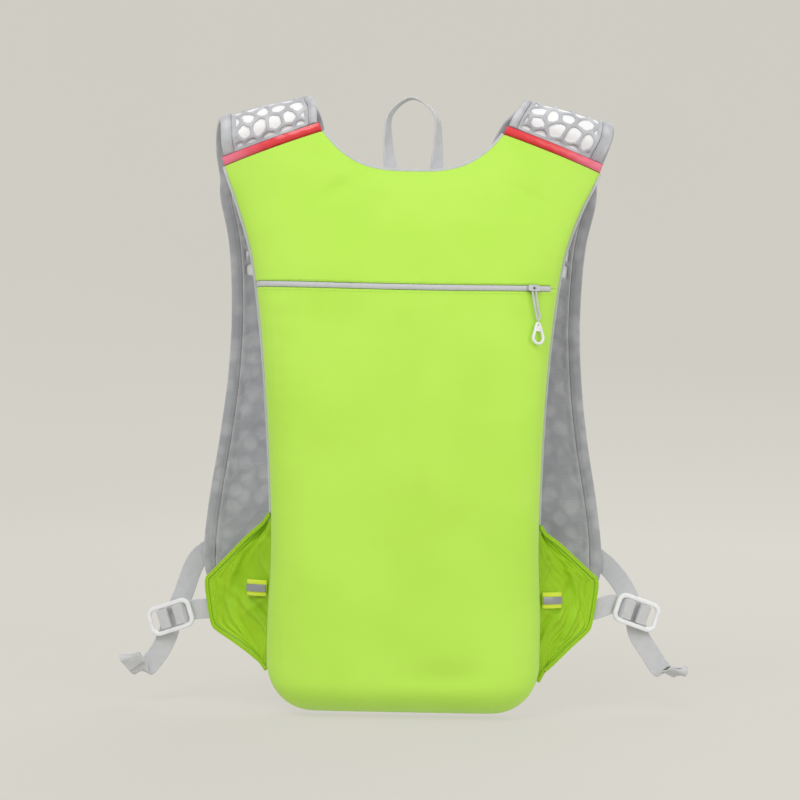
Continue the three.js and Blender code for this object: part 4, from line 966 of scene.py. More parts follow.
def strap_pad(sign):
    """Front and back grids with a pinched edge round each hole, holes left out and walled."""
    along, row, share, wide = strap_grid(sign)
    low, high = INNER_HEM + 0.5, wide[:, None] - OUTER_HEM - 0.5
    across = low + share * (high - low)
    middles = cell_middles(sign)

    def hole_at(a, b):
        border = np.minimum(np.minimum(b - low, high - b), a)
        return cell_distance(a, b, border, middles, True)

    hole = hole_at(along, across)
    small = 0.05
    pull_along = (hole_at(along + small, across) - hole) / small
    pull_across = (hole_at(along, across + small) - hole) / small
    inside = (share > 0.01) & (share < 0.99) & (row > 0.02)
    onto = (np.abs(hole) < 0.62) & inside
    along = np.where(onto, along - hole * np.clip(pull_along, -1.2, 1.2), along)
    across = np.where(onto, across - hole * np.clip(pull_across, -1.2, 1.2), across)
    hole = np.where(onto, 0.0, hole)
    rows, length, _ = strap_length(sign)
    row = np.interp(along, length, rows)
    dent = cell_distance(along, across, np.minimum(across - low, high - across), middles, False)
    pressed_in = 1.3 * (1 - ease(dent, -2.5, 1.2)) + 0.5 * np.exp(-(dent / 1.1) ** 2)
    edge = np.minimum(across - low, high - across)
    half = STRAP_THICKNESS / 2 * (0.5 + 0.5 * ease(hole, 0, 2.6))
    wrinkle = 0.3 * np.sin(along / 6 + across / 5) * np.sin(along / 9.5) * ease(edge, 0, 8)
    front_half = half + 0.35 * ease(hole, 2, 5) - pressed_in * ease(edge, 0.5, 5) + wrinkle * ease(along, 60, 160)
    back_half = half + 0.2 * ease(hole, 2, 5) - pressed_in * ease(edge, 0.5, 5) * 0.9
    outer = strap_point(sign, row, across, front_half)
    inner = strap_point(sign, row, across, -back_half)
    n, m = along.shape
    number = np.arange(n * m).reshape(n, m)
    middle = (hole[:-1, :-1] + hole[1:, :-1] + hole[1:, 1:] + hole[:-1, 1:]) / 4
    keep = middle > 0
    corner = np.stack([number[:-1, :-1], number[:-1, 1:], number[1:, 1:], number[1:, :-1]], -1)
    front = corner[keep]
    back = front[:, ::-1] + n * m
    edges = np.stack([front, np.roll(front, -1, axis=1)], -1).reshape(-1, 2)
    code = edges[:, 0].astype(np.int64) * (n * m) + edges[:, 1]
    reverse = edges[:, 1].astype(np.int64) * (n * m) + edges[:, 0]
    open_edges = edges[~np.isin(code, reverse)]
    wall = np.stack([open_edges[:, 1], open_edges[:, 0], open_edges[:, 0] + n * m, open_edges[:, 1] + n * m], -1)
    faces = np.concatenate([front, back, wall])
    points = np.concatenate([outer.reshape(-1, 3), inner.reshape(-1, 3)])
    faces = outwards(points, faces)
    used, renumbered = np.unique(faces, return_inverse=True)
    uv = np.stack([across, along], -1).reshape(-1, 2)
    return points[used], renumbered.reshape(faces.shape), np.concatenate([uv, uv])[used]


def strap_net(sign):
    """One thin knit layer in the middle of the foam, as far down as the cells are cut through."""
    rows, length, middle = strap_length(sign)
    pierced = (middle[:, 2] > PIERCED_HEIGHT) | (middle[:, 1] < STRAP_REACH / 2)
    row = np.interp(np.linspace(1.5, length[pierced][-1] + CELL_PITCH, 210), length, rows)[:, None]
    wide = strap_width(sign, row[:, 0])[:, None]
    across = INNER_HEM + 1 + np.linspace(0, 1, 24) * (wide - OUTER_HEM - INNER_HEM - 2)
    uv = np.stack([across, np.broadcast_to(np.linspace(0, 300, 210)[:, None], across.shape)], -1)
    return two_faced(strap_point(sign, row, across, 0.15), strap_point(sign, row, across, -0.15), uv)


for side_name, sign in (("left", -1), ("right", 1)):
    pad = new_piece(f"{side_name}_strap_foam", *strap_pad(sign), grey_knit, "grey_mesh", [f"{side_name}_strap_pad"])
    new_piece(f"{side_name}_strap_net", *strap_net(sign), pale_net, "grey_mesh")

# %% [markdown]
# ## Strap hems
# A knit band is folded over each edge of the strap and sewn down. It is a flat tube with a round outer edge, and its
# inner lip is drawn in by the stitches, which makes the ridge that shows in the picture.


# %% Strap hems
def strap_hem(sign, outer):
    """Section of a folded band: thick and round at the free edge, thin where it is stitched to the pad."""
    rows, length, _ = strap_length(sign)
    along = np.linspace(0, length[-1], 330)
    row = np.interp(along, length, rows)
    wide = OUTER_HEM if outer else INNER_HEM
    turn = np.linspace(np.pi / 2, 3 * np.pi / 2, 7)
    half = HEM_THICKNESS / 2
    nose = np.stack([1.1 + 1.1 * np.cos(turn), (half - 0.4) * np.sin(turn)], -1)
    lip = np.array([[wide - 2.4, -half + 0.1], [wide - 1.5, -half + 0.75], [wide, -half + 0.3],
                    [wide, half - 0.3], [wide - 1.5, half - 0.75], [wide - 2.4, half - 0.1],
                    [wide * 0.5, half]])
    flat = np.array([[wide * 0.5, -half]])
    section = np.concatenate([nose, flat, lip])
    across = np.broadcast_to(section[:, 0], (len(row), len(section)))
    through = section[:, 1] + 0.12 * np.sin(along / 3.1)[:, None] * (section[:, 0] > wide - 3)
    from_inner = strap_width(sign, row)[:, None] - across if outer else across
    grid = strap_point(sign, row[:, None], from_inner, through)
    steps, count = grid.shape[:2]
    number = np.arange(steps * count).reshape(steps, count)
    ring = np.roll(number, -1, axis=1)
    body = np.stack([number[:-1], ring[:-1], ring[1:], number[1:]], -1).reshape(-1, 4)
    points = grid.reshape(-1, 3)
    faces = outwards(points, body)
    turned = faces[0][0] != body[0][0]
    start, end = number[0][::-1].tolist(), number[-1].tolist()
    caps = [start[::-1], end[::-1]] if turned else [start, end]
    uv = np.stack([across, np.broadcast_to(along[:, None], across.shape)], -1).reshape(-1, 2)
    return points, faces.tolist() + caps, uv


for side_name, sign in (("left", -1), ("right", 1)):
    new_piece(f"{side_name}_outer_hem_band", *strap_hem(sign, True), grey_knit, "grey_tape",
              [f"{side_name}_strap_outer_hem"])
    new_piece(f"{side_name}_inner_hem_band", *strap_hem(sign, False), grey_knit, "grey_tape",
              [f"{side_name}_strap_inner_hem"])

# %% [markdown]
# ## Waist wings
# Two thin wings of darker nylon reach from the bag's sides to the waist webbing. They are gathered where they are
# sewn, so folds run down beside the tip and creases fan out from the bag. A wing is a ruled sheet between the bag's
# side and a curved outer edge, with the folds added along its own normal.

# %% Form of the wings
WING_HEIGHT = 111
WING_FOOT = WING_TOP - WING_HEIGHT
WING_REACH = 55.5
WING_REACH_SWAY = 2.5
WING_ANGLE = math.radians(30)
WING_THICKNESS = 2
WING_HEM_WIDTH = 3.6
# Each row: number, height on the bag's side, reach, height at the outer edge; heights as shares of the wing's
WING_OUTLINE = [
    (0, 0, 0.15, 0.055), (1, 0.12, 0.34, 0.125), (2, 0.24, 0.6, 0.21), (3, 0.36, 0.8, 0.27), (4, 0.44, 0.88, 0.31),
    (5, 0.52, 0.95, 0.44), (6, 0.6, 1, 0.585), (7, 0.67, 0.93, 0.63), (8, 0.77, 0.7, 0.73), (9, 0.88, 0.4, 0.858),
    (10, 1, 0.15, 0.945),
]
WEBBING_ROW = 4.72


def wing_out(sign):
    return np.array([sign * math.cos(WING_ANGLE), math.sin(WING_ANGLE), 0])


def wing_face(sign):
    return np.array([sign * math.sin(WING_ANGLE), -math.cos(WING_ANGLE), 0])


def wing_rise(sign, out):
    """Twice the sway times the share of the reach, less the sway; the other way round on the left."""
    return sign * WING_SWAY * (2 * out / WING_REACH - 1)


def wing_seam(sign, height):
    """Half width of the bag at the hung height, plus the gap and half of the slanted cloth."""
    hung = height + wing_rise(sign, 0)
    return half_width(hung, sign) + 2 * GAP + WING_THICKNESS / 2 * math.sin(WING_ANGLE)


def wing_folds(sign, share, height_share):
    """Broad wave across the wing, a ledge beside the tip, and two creases that fan out from the bag."""
    spread = np.sin(np.pi * np.clip(share, 0, 1)) ** 0.8
    broad = 1.3 * spread * np.sin(5 * np.pi * (height_share + 0.25 * share))
    ledge = 1.8 * np.exp(-((share - 0.68 - 0.05 * np.sin(height_share * 17)) / 0.05) ** 2) * ease(height_share, 0.1, 0.3)
    groove = -1.5 * np.exp(-((share - 0.56) / 0.07) ** 2) * ease(height_share, 0.05, 0.35)
    fan = np.zeros_like(share)
    for start, slope, width, depth in ((0.62, 0.55, 0.035, 1.7), (0.3, 0.5, 0.04, -2.0), (0.24, 0.42, 0.03, 1.6),
                                       (0.86, 0.1, 0.03, -1.2), (0.47, -0.25, 0.03, 1.1)):
        fan += depth * np.exp(-((height_share - start - slope * share) / width) ** 2) * ease(share, 0.8, 0.1)
    tip = (0.6 * np.sin(46 * share + 21 * height_share + 3 * np.sin(15 * height_share) + sign)
           * ease(share, 0.62, 0.85) * ease(share, 1.0, 0.93))
    small = 0.28 * np.sin(31 * share * (1 + 0.3 * sign) + 9 * np.sin(height_share * 8 + sign)) * spread
    return broad + ledge * spread + groove * spread + fan + tip + small


def wing_point(sign, share, row, through, beyond=0.0, folded=True):
    """Ruled from the bag's side out along the wing's direction; folds and offset go along its face."""
    share, row, through = np.broadcast_arrays(*(np.asarray(v, float) for v in (share, row, through)))
    reach = (WING_REACH - sign * WING_REACH_SWAY) * from_table(WING_OUTLINE, row, 2) - WING_HEM_WIDTH
    on_seam, on_edge = from_table(WING_OUTLINE, row, 1), from_table(WING_OUTLINE, row, 3)
    height_share = on_seam + (on_edge - on_seam) * share
    seam_height = WING_FOOT + on_seam * WING_HEIGHT
    seam_x = wing_seam(sign, seam_height)
    lift = through + (wing_folds(sign, share, height_share) if folded else 0)
    base = np.stack([sign * seam_x, seam_depth(seam_x, seam_height) + PAD_THICKNESS / 2, 0 * seam_x], -1)
    out = share * reach + beyond
    point = base + wing_out(sign) * out[..., None] + wing_face(sign) * lift[..., None]
    point[..., 2] = WING_FOOT + height_share * WING_HEIGHT + wing_rise(sign, out)
    return point


def wing_cloth(sign):
    """Grid over share and row, 0.9 mm thick, with a thicker turned-in strip along the outer edge."""
    row = np.linspace(0, 10, 190)[:, None]
    share = np.linspace(-0.05, 1, 96)[None, :]
    edge = 0.25 * ease(share, 0.86, 0.9) * np.ones_like(row)
    outer = wing_point(sign, share, row, 0.45 + edge)
    inner = wing_point(sign, share, row, -0.45 - edge)
    uv = np.stack(np.broadcast_arrays(share * WING_REACH, row * WING_HEIGHT / 10), -1)
    return two_faced(outer, inner, uv)


def wing_edge_band(sign):
    """Bound edge: a rounded section along the outer line, with a groove that parts it into two rolls."""
    row = np.linspace(0, 10, 240)
    share = np.concatenate([np.linspace(-0.2, 0.8, 8), np.ones_like(row), np.linspace(0.8, -0.2, 8)])
    row = np.concatenate([np.zeros(8), row, np.full(8, 10)])
    path = wing_point(sign, share, row, 0, folded=False)
    run = directions(path)
    face = np.broadcast_to(wing_face(sign), path.shape)
    away = unit(np.cross(run, face)) * sign
    section = np.array([[0.5, -1.2], [1.6, -1.3], [2.1, -0.9], [2.6, -1.3], [3.4, -1.1], [3.9, 0],
                        [3.4, 1.1], [2.6, 1.3], [2.1, 0.75], [1.6, 1.3], [0.5, 1.2]])
    ripple = 1 + 0.1 * np.sin(row * 23)[:, None]
    section = np.stack([np.broadcast_to(section[:, 0], (len(row), 11)), section[:, 1] * ripple], -1)
    return swept(path, away, face, section)


for side_name, sign in (("left", -1), ("right", 1)):
    new_piece(f"{side_name}_wing_cloth", *wing_cloth(sign), wing_nylon, "wing_nylon",
                                 [f"{side_name}_wing"])
    band = new_piece(f"{side_name}_wing_edge", *wing_edge_band(sign), wing_nylon, "wing_nylon",
                     [f"{side_name}_wing_hem"])

# %% [markdown]
# ## Reflective tabs
# A short folded tape lies on each wing beside the bag: a grey reflective stripe between two fluorescent edges. It
# arches a little off the wing, which gives it the shadow underneath.

# %% Tabs and stripes
TAB_LENGTH = 17
TAB_WIDTH = 12
TAB_THICKNESS = 1.2
TAB_HEIGHT = 86
TAB_LIFT = WING_THICKNESS / 2 + 0.4 * 1.6 + GAP


def tab_band(sign, width, thickness, lift):
    """Section laid along the wing's direction, its arch a sine over the length."""
    share = np.linspace(0, 1, 40)
    seam_x = wing_seam(sign, TAB_HEIGHT)
    base = np.array([sign * seam_x, seam_depth(seam_x, TAB_HEIGHT) + PAD_THICKNESS / 2,
                     TAB_HEIGHT + wing_rise(sign, 0)])
    rise = lift + thickness / 2 + 1.5 * np.sin(np.pi * share)
    path = base + wing_out(sign) * (GAP + share * TAB_LENGTH)[:, None] + wing_face(sign) * rise[:, None]
    up = np.broadcast_to([0.0, 0, 1], path.shape)
    face = np.broadcast_to(wing_face(sign), path.shape)
    return swept(path, up, face, rounded_section(width, thickness, thickness * 0.4))


for side_name, sign in (("left", -1), ("right", 1)):
    new_piece(f"{side_name}_fluo_tab", *tab_band(sign, TAB_WIDTH, TAB_THICKNESS, TAB_LIFT), fluo_tape, "fluo_tape",
              [f"{side_name}_tab_tape"])
    new_piece(f"{side_name}_reflective_stripe", *tab_band(sign, 5.5, 0.5, TAB_LIFT + TAB_THICKNESS + GAP), reflective,
              "reflective", [f"{side_name}_tab_stripe"])

# %% [markdown]
# ## Webbing along smooth lines
# Webbing is flat and keeps its width, so it is a section carried along a smooth line through a few known places.
# The line is a centripetal Catmull-Rom curve, which never loops back between two places, and the direction of the
# width is given along it, so that the band twists where the real one does.

# %% Smooth line and band
WEBBING_WIDTH = 15
WEBBING_THICKNESS = 1.4


def smooth_line(places, at):
    """Centripetal Catmull-Rom curve: each span's knots are spaced by the square root of the chord."""
    p = np.asarray(places, float)
    p = np.concatenate([[2 * p[0] - p[1]], p, [2 * p[-1] - p[-2]]])
    spans = len(p) - 3
    place = np.clip(np.asarray(at, float), 0, 1) * spans
    span = np.minimum(place.astype(int), spans - 1)
    t = (place - span)[:, None]
    x0, x1, x2, x3 = (p[span + k] for k in range(4))
    d0, d1, d2 = (np.linalg.norm(b - a, axis=1, keepdims=True) ** 0.5 for a, b in ((x0, x1), (x1, x2), (x2, x3)))
    start = ((x1 - x0) / d0 - (x2 - x0) / (d0 + d1) + (x2 - x1) / d1) * d1
    end = ((x2 - x1) / d1 - (x3 - x1) / (d1 + d2) + (x3 - x2) / d2) * d1
    return x1 + start * t + (3 * (x2 - x1) - 2 * start - end) * t ** 2 + (2 * (x1 - x2) + start + end) * t ** 3


def flat_band(places, wanted, section, steps):
    """Section along the smooth line; normal is tangent cross wanted width, width is normal cross tangent."""
    s = np.linspace(0, 1, steps)
    path = smooth_line(places, s)
    run = unit(smooth_line(places, s + 0.002) - smooth_line(places, s - 0.002))
    across = wanted(s)
    normal = unit(np.cross(run, across))
    wide = unit(np.cross(normal, run))
    return swept(path, wide, normal, section)


def edged_section(width, thickness):
    """Webbing section: flat middle and slightly thicker rolled edges."""
    across = np.array([-1, -0.985, -0.93, -0.86, -0.6, 0, 0.6, 0.86, 0.93, 0.985, 1]) * width / 2
    half = np.array([0.3, 0.75, 1.0, 0.9, 0.86, 0.84, 0.86, 0.9, 1.0, 0.75, 0.3]) * thickness / 2
    return np.concatenate([np.stack([across, -half], -1), np.stack([across, half], -1)[::-1]])


# %% [markdown]
# ## Grab loop
# A loop of webbing at the neckline. Its feet face the viewer and its top is turned on edge, as a loop hangs when it
# has been sewn down flat and then lifted.

# %% Grab loop
LOOP_WIDTH = 11
LOOP_THICKNESS = 1.5
LOOP_HALF_SPAN = 18
LOOP_RISE = 56.4
FOOT_SUNK = 6


def loop_places():
    """Up the left foot, over the top and down the right foot."""
    foot = float(yoke_top((LOOP_HALF_SPAN + LOOP_WIDTH) / SHOULDER_HALF_WIDTH)) + TAPE_WIDTH + 2 * GAP
    top = NECK_HEIGHT + LOOP_RISE
    depth = float(seam_depth(0, NECK_HEIGHT)) + PAD_THICKNESS / 2
    rise = lambda share: foot + (top - foot) * share
    return [(-LOOP_HALF_SPAN + 2.5, depth, foot - FOOT_SUNK), (-LOOP_HALF_SPAN - 0.5, depth, rise(0.35)),
            (-LOOP_HALF_SPAN + 1, depth, rise(0.75)), (-1.3, depth, top - LOOP_THICKNESS / 2),
            (LOOP_HALF_SPAN - 1.5, depth, rise(0.75)), (LOOP_HALF_SPAN + 0.8, depth, rise(0.35)),
            (LOOP_HALF_SPAN - 0.3, depth, foot - FOOT_SUNK)]


def loop_turn(s):
    """Width turns from 15 degrees at the feet to 80 at the top."""
    turn = np.radians(15 + 65 * np.sin(np.pi * np.clip(s, 0, 1)) ** 0.7)
    return np.stack([np.cos(turn), np.sin(turn), 0 * turn], -1)


new_piece("grab_loop_webbing", *flat_band(loop_places(), loop_turn, edged_section(LOOP_WIDTH, LOOP_THICKNESS), 160),
          webbing, "webbing", ["grab_loop"])

# %% [markdown]
# ## Buckles
# A ladder-lock buckle is a moulded rim with two bars. The rim is a round-cornered loop with a soft section, the
# inner bar carries the wing's webbing and the ribbed bar locks the side webbing. All three run into each other in
# one piece of plastic, so their ends are sunk into the rim.

# %% Ladder-lock buckles
BUCKLE_LENGTH = 36.5
BUCKLE_WIDTH = 23
BUCKLE_THICKNESS = 3.5
BUCKLE_RIM = 3.4
BUCKLE_CORNER = 7
BUCKLE_STAND_OFF = 21.7
BUCKLE_HEIGHT = 67.3
SWAY = math.tan(math.radians(1.65))
BAR_WIDTH = 5
BAR_THICKNESS = 1.6
WING_BAR = -BUCKLE_LENGTH * 0.2
LADDER_BAR = BUCKLE_LENGTH * 0.15


def buckle_axes(sign):
    """Directions out, side and face of a buckle, and the place of its middle."""
    tilt, turn = math.radians(19), WING_ANGLE * 0.5
    x = sign * (BAG_HALF_WIDTH + WING_REACH + BUCKLE_STAND_OFF)
    out = np.array([sign * math.cos(tilt) * math.cos(turn), math.cos(tilt) * math.sin(turn), -math.sin(tilt)])
    face = np.array([sign * math.sin(turn), -math.cos(turn), 0])
    side = unit(np.cross(face, out))
    return out, side, face, np.array([x, 46, BUCKLE_HEIGHT + x * SWAY])


def from_buckle(sign, places):
    """Places along, across and off the buckle as places of the bag."""
    out, side, face, middle = buckle_axes(sign)
    places = np.asarray(places, float)
    return places[..., :1] * out + places[..., 1:2] * side + places[..., 2:] * face + middle


def rim_loop(length, width, radius, count=26):
    """Rounded rectangle in order round it, many points in the corners."""
    corners = []
    for quarter, (sx, sy) in enumerate(((1, 1), (-1, 1), (-1, -1), (1, -1))):
        turn = np.linspace(0, np.pi / 2, count) + quarter * np.pi / 2
        middle = np.array([sx * (length / 2 - radius), sy * (width / 2 - radius)])
        corners.append(middle + radius * np.stack([np.cos(turn), np.sin(turn)], -1))
    return np.concatenate(corners)


def buckle_form(sign):
    """Rim swept round a closed loop, and two bars with rounded sections whose ends are in the rim."""
    inset = BUCKLE_RIM / 2
    loop = rim_loop(BUCKLE_LENGTH - BUCKLE_RIM, BUCKLE_WIDTH - BUCKLE_RIM, BUCKLE_CORNER - inset)
    path = np.concatenate([loop, np.zeros((len(loop), 1))], -1)
    run = unit(np.roll(path, -1, axis=0) - np.roll(path, 1, axis=0))
    up = np.broadcast_to([0.0, 0, 1], path.shape)
    outward = unit(np.cross(run, up))
    rim = swept(path, outward, up, rounded_section(BUCKLE_RIM, BUCKLE_THICKNESS, 1.0, 5), closed=True)
    reach = BUCKLE_WIDTH / 2 - BUCKLE_RIM * 0.6
    bars = []
    for place, ribs in ((WING_BAR, 0.0), (LADDER_BAR, 0.16)):
        across = np.linspace(-reach, reach, 121)
        line = np.stack([np.full(121, place), across, np.full(121, 0.0)], -1)
        section = np.broadcast_to(rounded_section(BAR_WIDTH, BAR_THICKNESS, 0.6, 3), (121, 16, 2)).copy()
        section[..., 1] *= (1 + ribs * (np.sin(across * 3.4) - 1))[:, None]
        forward = np.broadcast_to([1.0, 0, 0], line.shape)
        bars.append(swept(line, forward, np.broadcast_to([0.0, 0, 1], line.shape), section))
    points, faces, uv = joined(rim, *bars)
    return from_buckle(sign, points), faces, uv


def facing_out(points, faces, uv):
    """The whole turned over if mirroring by the frame's handedness has turned it inside out."""
    quads = np.array([face for face in faces if len(face) == 4])
    turned = not np.array_equal(outwards(points, quads)[0], quads[0])
    return points, [list(face)[::-1] for face in faces] if turned else faces, uv


for side_name, sign in (("left", -1), ("right", 1)):
    new_piece(f"{side_name}_ladder_lock", *facing_out(*buckle_form(sign)), pale_plastic, "pale_plastic",
              [f"{side_name}_buckle"])

# %% [markdown]
# ## Waist webbing
# The wing's webbing comes from behind the wing's tip, goes up round the buckle's inner bar and back. The side
# webbing comes off the strap's lower edge, runs behind the buckle, and hangs free below it with its end folded
# over and sewn. Its turn over the ribbed bar is a short piece of its own.

# %% Webbing round the bars
def over_bar(place):
    """Up through a slot, over the bar in a small round, and down again."""
    top, half = BAR_THICKNESS / 4, BAR_WIDTH / 2
    bend = GAP + WEBBING_THICKNESS / 2 + 0.1
    side = np.array([[half + bend, 0, -BUCKLE_THICKNESS / 2], [half + bend, 0, top],
                     [half + bend * 0.72, 0, top + bend * 0.72], [half - 0.2, 0, top + bend]])
    return np.concatenate([side * [-1, 1, 1], side[::-1]]) + [place, 0, 0]


def ladder_turn(sign):
    side = buckle_axes(sign)[1]
    return flat_band(from_buckle(sign, over_bar(LADDER_BAR)), lambda s: np.broadcast_to(side, (len(s), 3)),
                     edged_section(WEBBING_WIDTH, WEBBING_THICKNESS), 60)


def wing_strap(sign):
    """From under the wing's hem to the inner bar, its width turning from upright to the bar's direction."""
    behind = -(1.4 + GAP + WEBBING_THICKNESS / 2 + 0.1)
    start = wing_point(sign, 1.0, WEBBING_ROW, behind, -5, folded=False)
    tip = wing_point(sign, 1.0, WEBBING_ROW, behind, WING_HEM_WIDTH + 2, folded=False)
    under = -(BUCKLE_THICKNESS / 2 + GAP + WEBBING_THICKNESS)
    bar = np.concatenate([[[-BUCKLE_LENGTH / 2 - 1, 0, under], [-BUCKLE_LENGTH / 2 + BUCKLE_RIM, 0, under]],
                          over_bar(WING_BAR)[1:]])
    side = buckle_axes(sign)[1]
    upright = np.array([0, 0, np.sign(side[2])])
    turn = lambda s: upright + (side - upright) * ease(s, 0, 0.5)[:, None]
    return flat_band(np.concatenate([[start, tip], from_buckle(sign, bar)]), turn,
                     edged_section(WEBBING_WIDTH, WEBBING_THICKNESS), 180)


FOLD_LENGTH = 9
FOLD_GAP = 2.3
# Tail below each buckle, in webbing widths from the buckle's middle: out, down, back; and the lean in degrees
TAIL_ROUTE = {
    "left": [(0.3, 1, 0, 24), (0.69, 1.8, -0.05, 32), (1.3, 2.6, -0.2, 20), (1.5, 2.72, -0.42, 5),
             (2.09, 1.95, -0.7, 0)],
    "right": [(0.26, 1.13, 0, 20), (0.81, 1.98, -0.05, 32), (1.4, 2.85, -0.2, 20), (1.65, 2.98, -0.42, 5),
              (2.17, 2.72, -0.85, 0)],
}


def side_strap(name, sign):
    """Places on the strap's chest side, behind the buckle and down the tail; the band's lean is read beside them."""
    lift = HEM_THICKNESS / 2 + GAP + WEBBING_THICKNESS / 2 + 0.5
    beside = lambda row, beyond: strap_point(sign, row, strap_width(sign, row) + beyond, lift)
    back = -(BUCKLE_THICKNESS / 2 + 2 * GAP + 2 * WEBBING_THICKNESS + 1.2)
    middle = from_buckle(sign, [0, 0, back])
    above = middle + np.array([-sign * 0.42, 0.53, 1.1]) * WEBBING_WIDTH
    tail = [middle + np.array([sign * out, behind, -down]) * WEBBING_WIDTH
            for out, down, behind, _ in TAIL_ROUTE[name]]
    leans = np.array([44, 42, 26, 16] + [row[3] for row in TAIL_ROUTE[name]], float)
    count = len(leans) - 1

    def width(s):
        lean = np.radians(np.interp(np.clip(s, 0, 1) * count, np.arange(count + 1), leans))
        return np.stack([np.cos(lean), 0 * lean, sign * np.sin(lean)], -1)

    last = unit(tail[-1] - tail[-2])
    off = unit(np.cross(last, [1.0, 0, 0])) * FOLD_GAP
    off = off * -np.sign(off[1])
    fold = [tail[-1] + last * 0.9 + off * 0.5, tail[-1] + off, tail[-1] - last * FOLD_LENGTH + off]
    leans = np.concatenate([leans, [0, 0, 0]])
    count += 3
    places = [beside(11.8, -10), beside(12.15, 4.5), above, middle, *tail, *fold]
    return flat_band(places, width, edged_section(WEBBING_WIDTH, WEBBING_THICKNESS), 360)


for side_name, sign in (("left", -1), ("right", 1)):
    new_piece(f"{side_name}_waist_webbing", *wing_strap(sign), webbing, "webbing", [f"{side_name}_wing_webbing"])
    new_piece(f"{side_name}_ladder_turn", *ladder_turn(sign), webbing, "webbing", [f"{side_name}_adjuster_turn"])
    new_piece(f"{side_name}_side_webbing", *side_strap(side_name, sign), webbing, "webbing",
              [f"{side_name}_adjuster"])

# %% [markdown]
# ## Zip pull
# The slider is cast metal with an eye. A thin doubled cord hangs from it to a pale rounded-triangle tab with a
# finger hole. The slider keeps the frame's own solid with a metal finish; the tab is swept as one soft-edged ring
# with a web at its top, and the cord is one closed-looking line from the slider to the tab and back.

# %% Zip pull
SLIDER_PLACE = 89.6
SLIDER_WIDTH = 4.6
PULL_CORD_LENGTH = 25
PULL_CORD_RADIUS = 0.8
TAB_WIDE = 10.5
TAB_LONG = 17
TAB_THICK = 2
TAB_HANG = 2.2
TAB_MIDDLE = ZIP_HEIGHT - PULL_CORD_LENGTH - TAB_LONG / 2
TAB_PLACE = SLIDER_PLACE + 3


def cover_axes(x, height):
    """Right, up and outward directions of the cover at a place, from small steps along it."""
    share = x / float(half_width(height))
    side = cover_point(share + 0.004, height) - cover_point(share - 0.004, height)
    rise = cover_point(share, height + 1) - cover_point(share, height - 1)
    normal = unit(np.cross(side, rise))
    up = unit(np.array([0, 0, 1]) - normal * normal[2])
    return np.cross(up, normal), up, normal, cover_point(share, height)


def on_cover(x, height, places):
    """Places (right, up, off) in the cover's own directions there."""
    right, up, normal, base = cover_axes(x, height)
    places = np.asarray(places, float)
    return base + places[..., :1] * right + places[..., 1:2] * up + places[..., 2:] * normal


def pull_tab():
    """Outline of a big round bottom and a small round top; rings of it, inset and lifted, make the soft edge."""
    count = 40
    low, top_radius, big = -TAB_LONG / 2, 2.4, TAB_WIDE / 2
    slope = math.asin((big - top_radius) / (TAB_LONG - big - top_radius))
    bottom = np.linspace(math.pi - slope, 2 * math.pi + slope, count)
    top = np.linspace(slope, math.pi - slope, count // 2)
    centre_low, centre_top = np.array([0, low + big]), np.array([0, -low - top_radius])

    def outline(inset):
        lower = centre_low + (big - inset) * np.stack([np.cos(bottom), np.sin(bottom)], -1)
        upper = centre_top + (top_radius - inset) * np.stack([np.cos(top), np.sin(top)], -1)
        return np.concatenate([lower, upper])

    rim = outline(1.05)
    path = np.concatenate([rim, np.full((len(rim), 1), TAB_HANG + TAB_THICK / 2)], -1)
    run = unit(np.roll(path, -1, axis=0) - np.roll(path, 1, axis=0))
    up = np.broadcast_to([0.0, 0, 1], path.shape)
    ring = swept(path, unit(np.cross(run, up)), up, rounded_section(2.0, TAB_THICK, 0.75, 5), closed=True)
    web_line = np.stack([np.zeros(24), np.linspace(1.6, 5.4, 24), np.full(24, TAB_HANG + TAB_THICK / 2)], -1)
    web_section = np.broadcast_to(rounded_section(2, TAB_THICK * 0.8, 0.5, 3), (24, 16, 2)).copy()
    web_section[..., 0] *= np.linspace(2.5, 1.1, 24)[:, None]
    web = swept(web_line, np.broadcast_to([1.0, 0, 0], (24, 3)), np.broadcast_to([0.0, 0, 1], (24, 3)), web_section)
    points, faces, uv = joined(ring, web)
    return on_cover(TAB_PLACE, TAB_MIDDLE, points), faces, uv


tab_points, tab_faces, tab_uv = pull_tab()
new_piece("zip_tab", *facing_out(tab_points, tab_faces, tab_uv), pale_plastic, "pale_plastic", ["zip_pull_tab"])

cord_top = float(zip_line(SLIDER_PLACE / float(half_width(ZIP_HEIGHT)))) - SLIDER_WIDTH / 2 - GAP
cord_low = TAB_MIDDLE + TAB_LONG / 2 + GAP + PULL_CORD_RADIUS
hang = [(0, 0, TAB_HANG + TAB_THICK / 2)]
cord_places = [on_cover(x, height, hang)[0] for x, height in (
    (SLIDER_PLACE - 1.2, cord_top), (SLIDER_PLACE + 0.42, (cord_top + cord_low) / 2), (TAB_PLACE - 0.96, cord_low + 2),
    (TAB_PLACE, cord_low), (TAB_PLACE + 0.96, cord_low + 2), (SLIDER_PLACE + 2.58, (cord_top + cord_low) / 2),
    (SLIDER_PLACE + 1.2, cord_top))]
cord_line = smooth_line(cord_places, np.linspace(0, 1, 120))
turn = np.linspace(0, 2 * np.pi, 10, endpoint=False)
round_section = PULL_CORD_RADIUS * np.stack([np.cos(turn), np.sin(turn)], -1)
run = directions(cord_line)
off = np.broadcast_to(cover_axes(SLIDER_PLACE, 300.0)[2], run.shape)
beside = unit(np.cross(off, run))
zip_cord = new_piece("zip_cord", *swept(cord_line, beside, unit(np.cross(run, beside)), round_section), webbing,
                     "grey_tape", ["zip_pull_cord"])

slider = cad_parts["zip_slider"]
slider.data.materials.clear()
slider.data.materials.append(slider_metal)
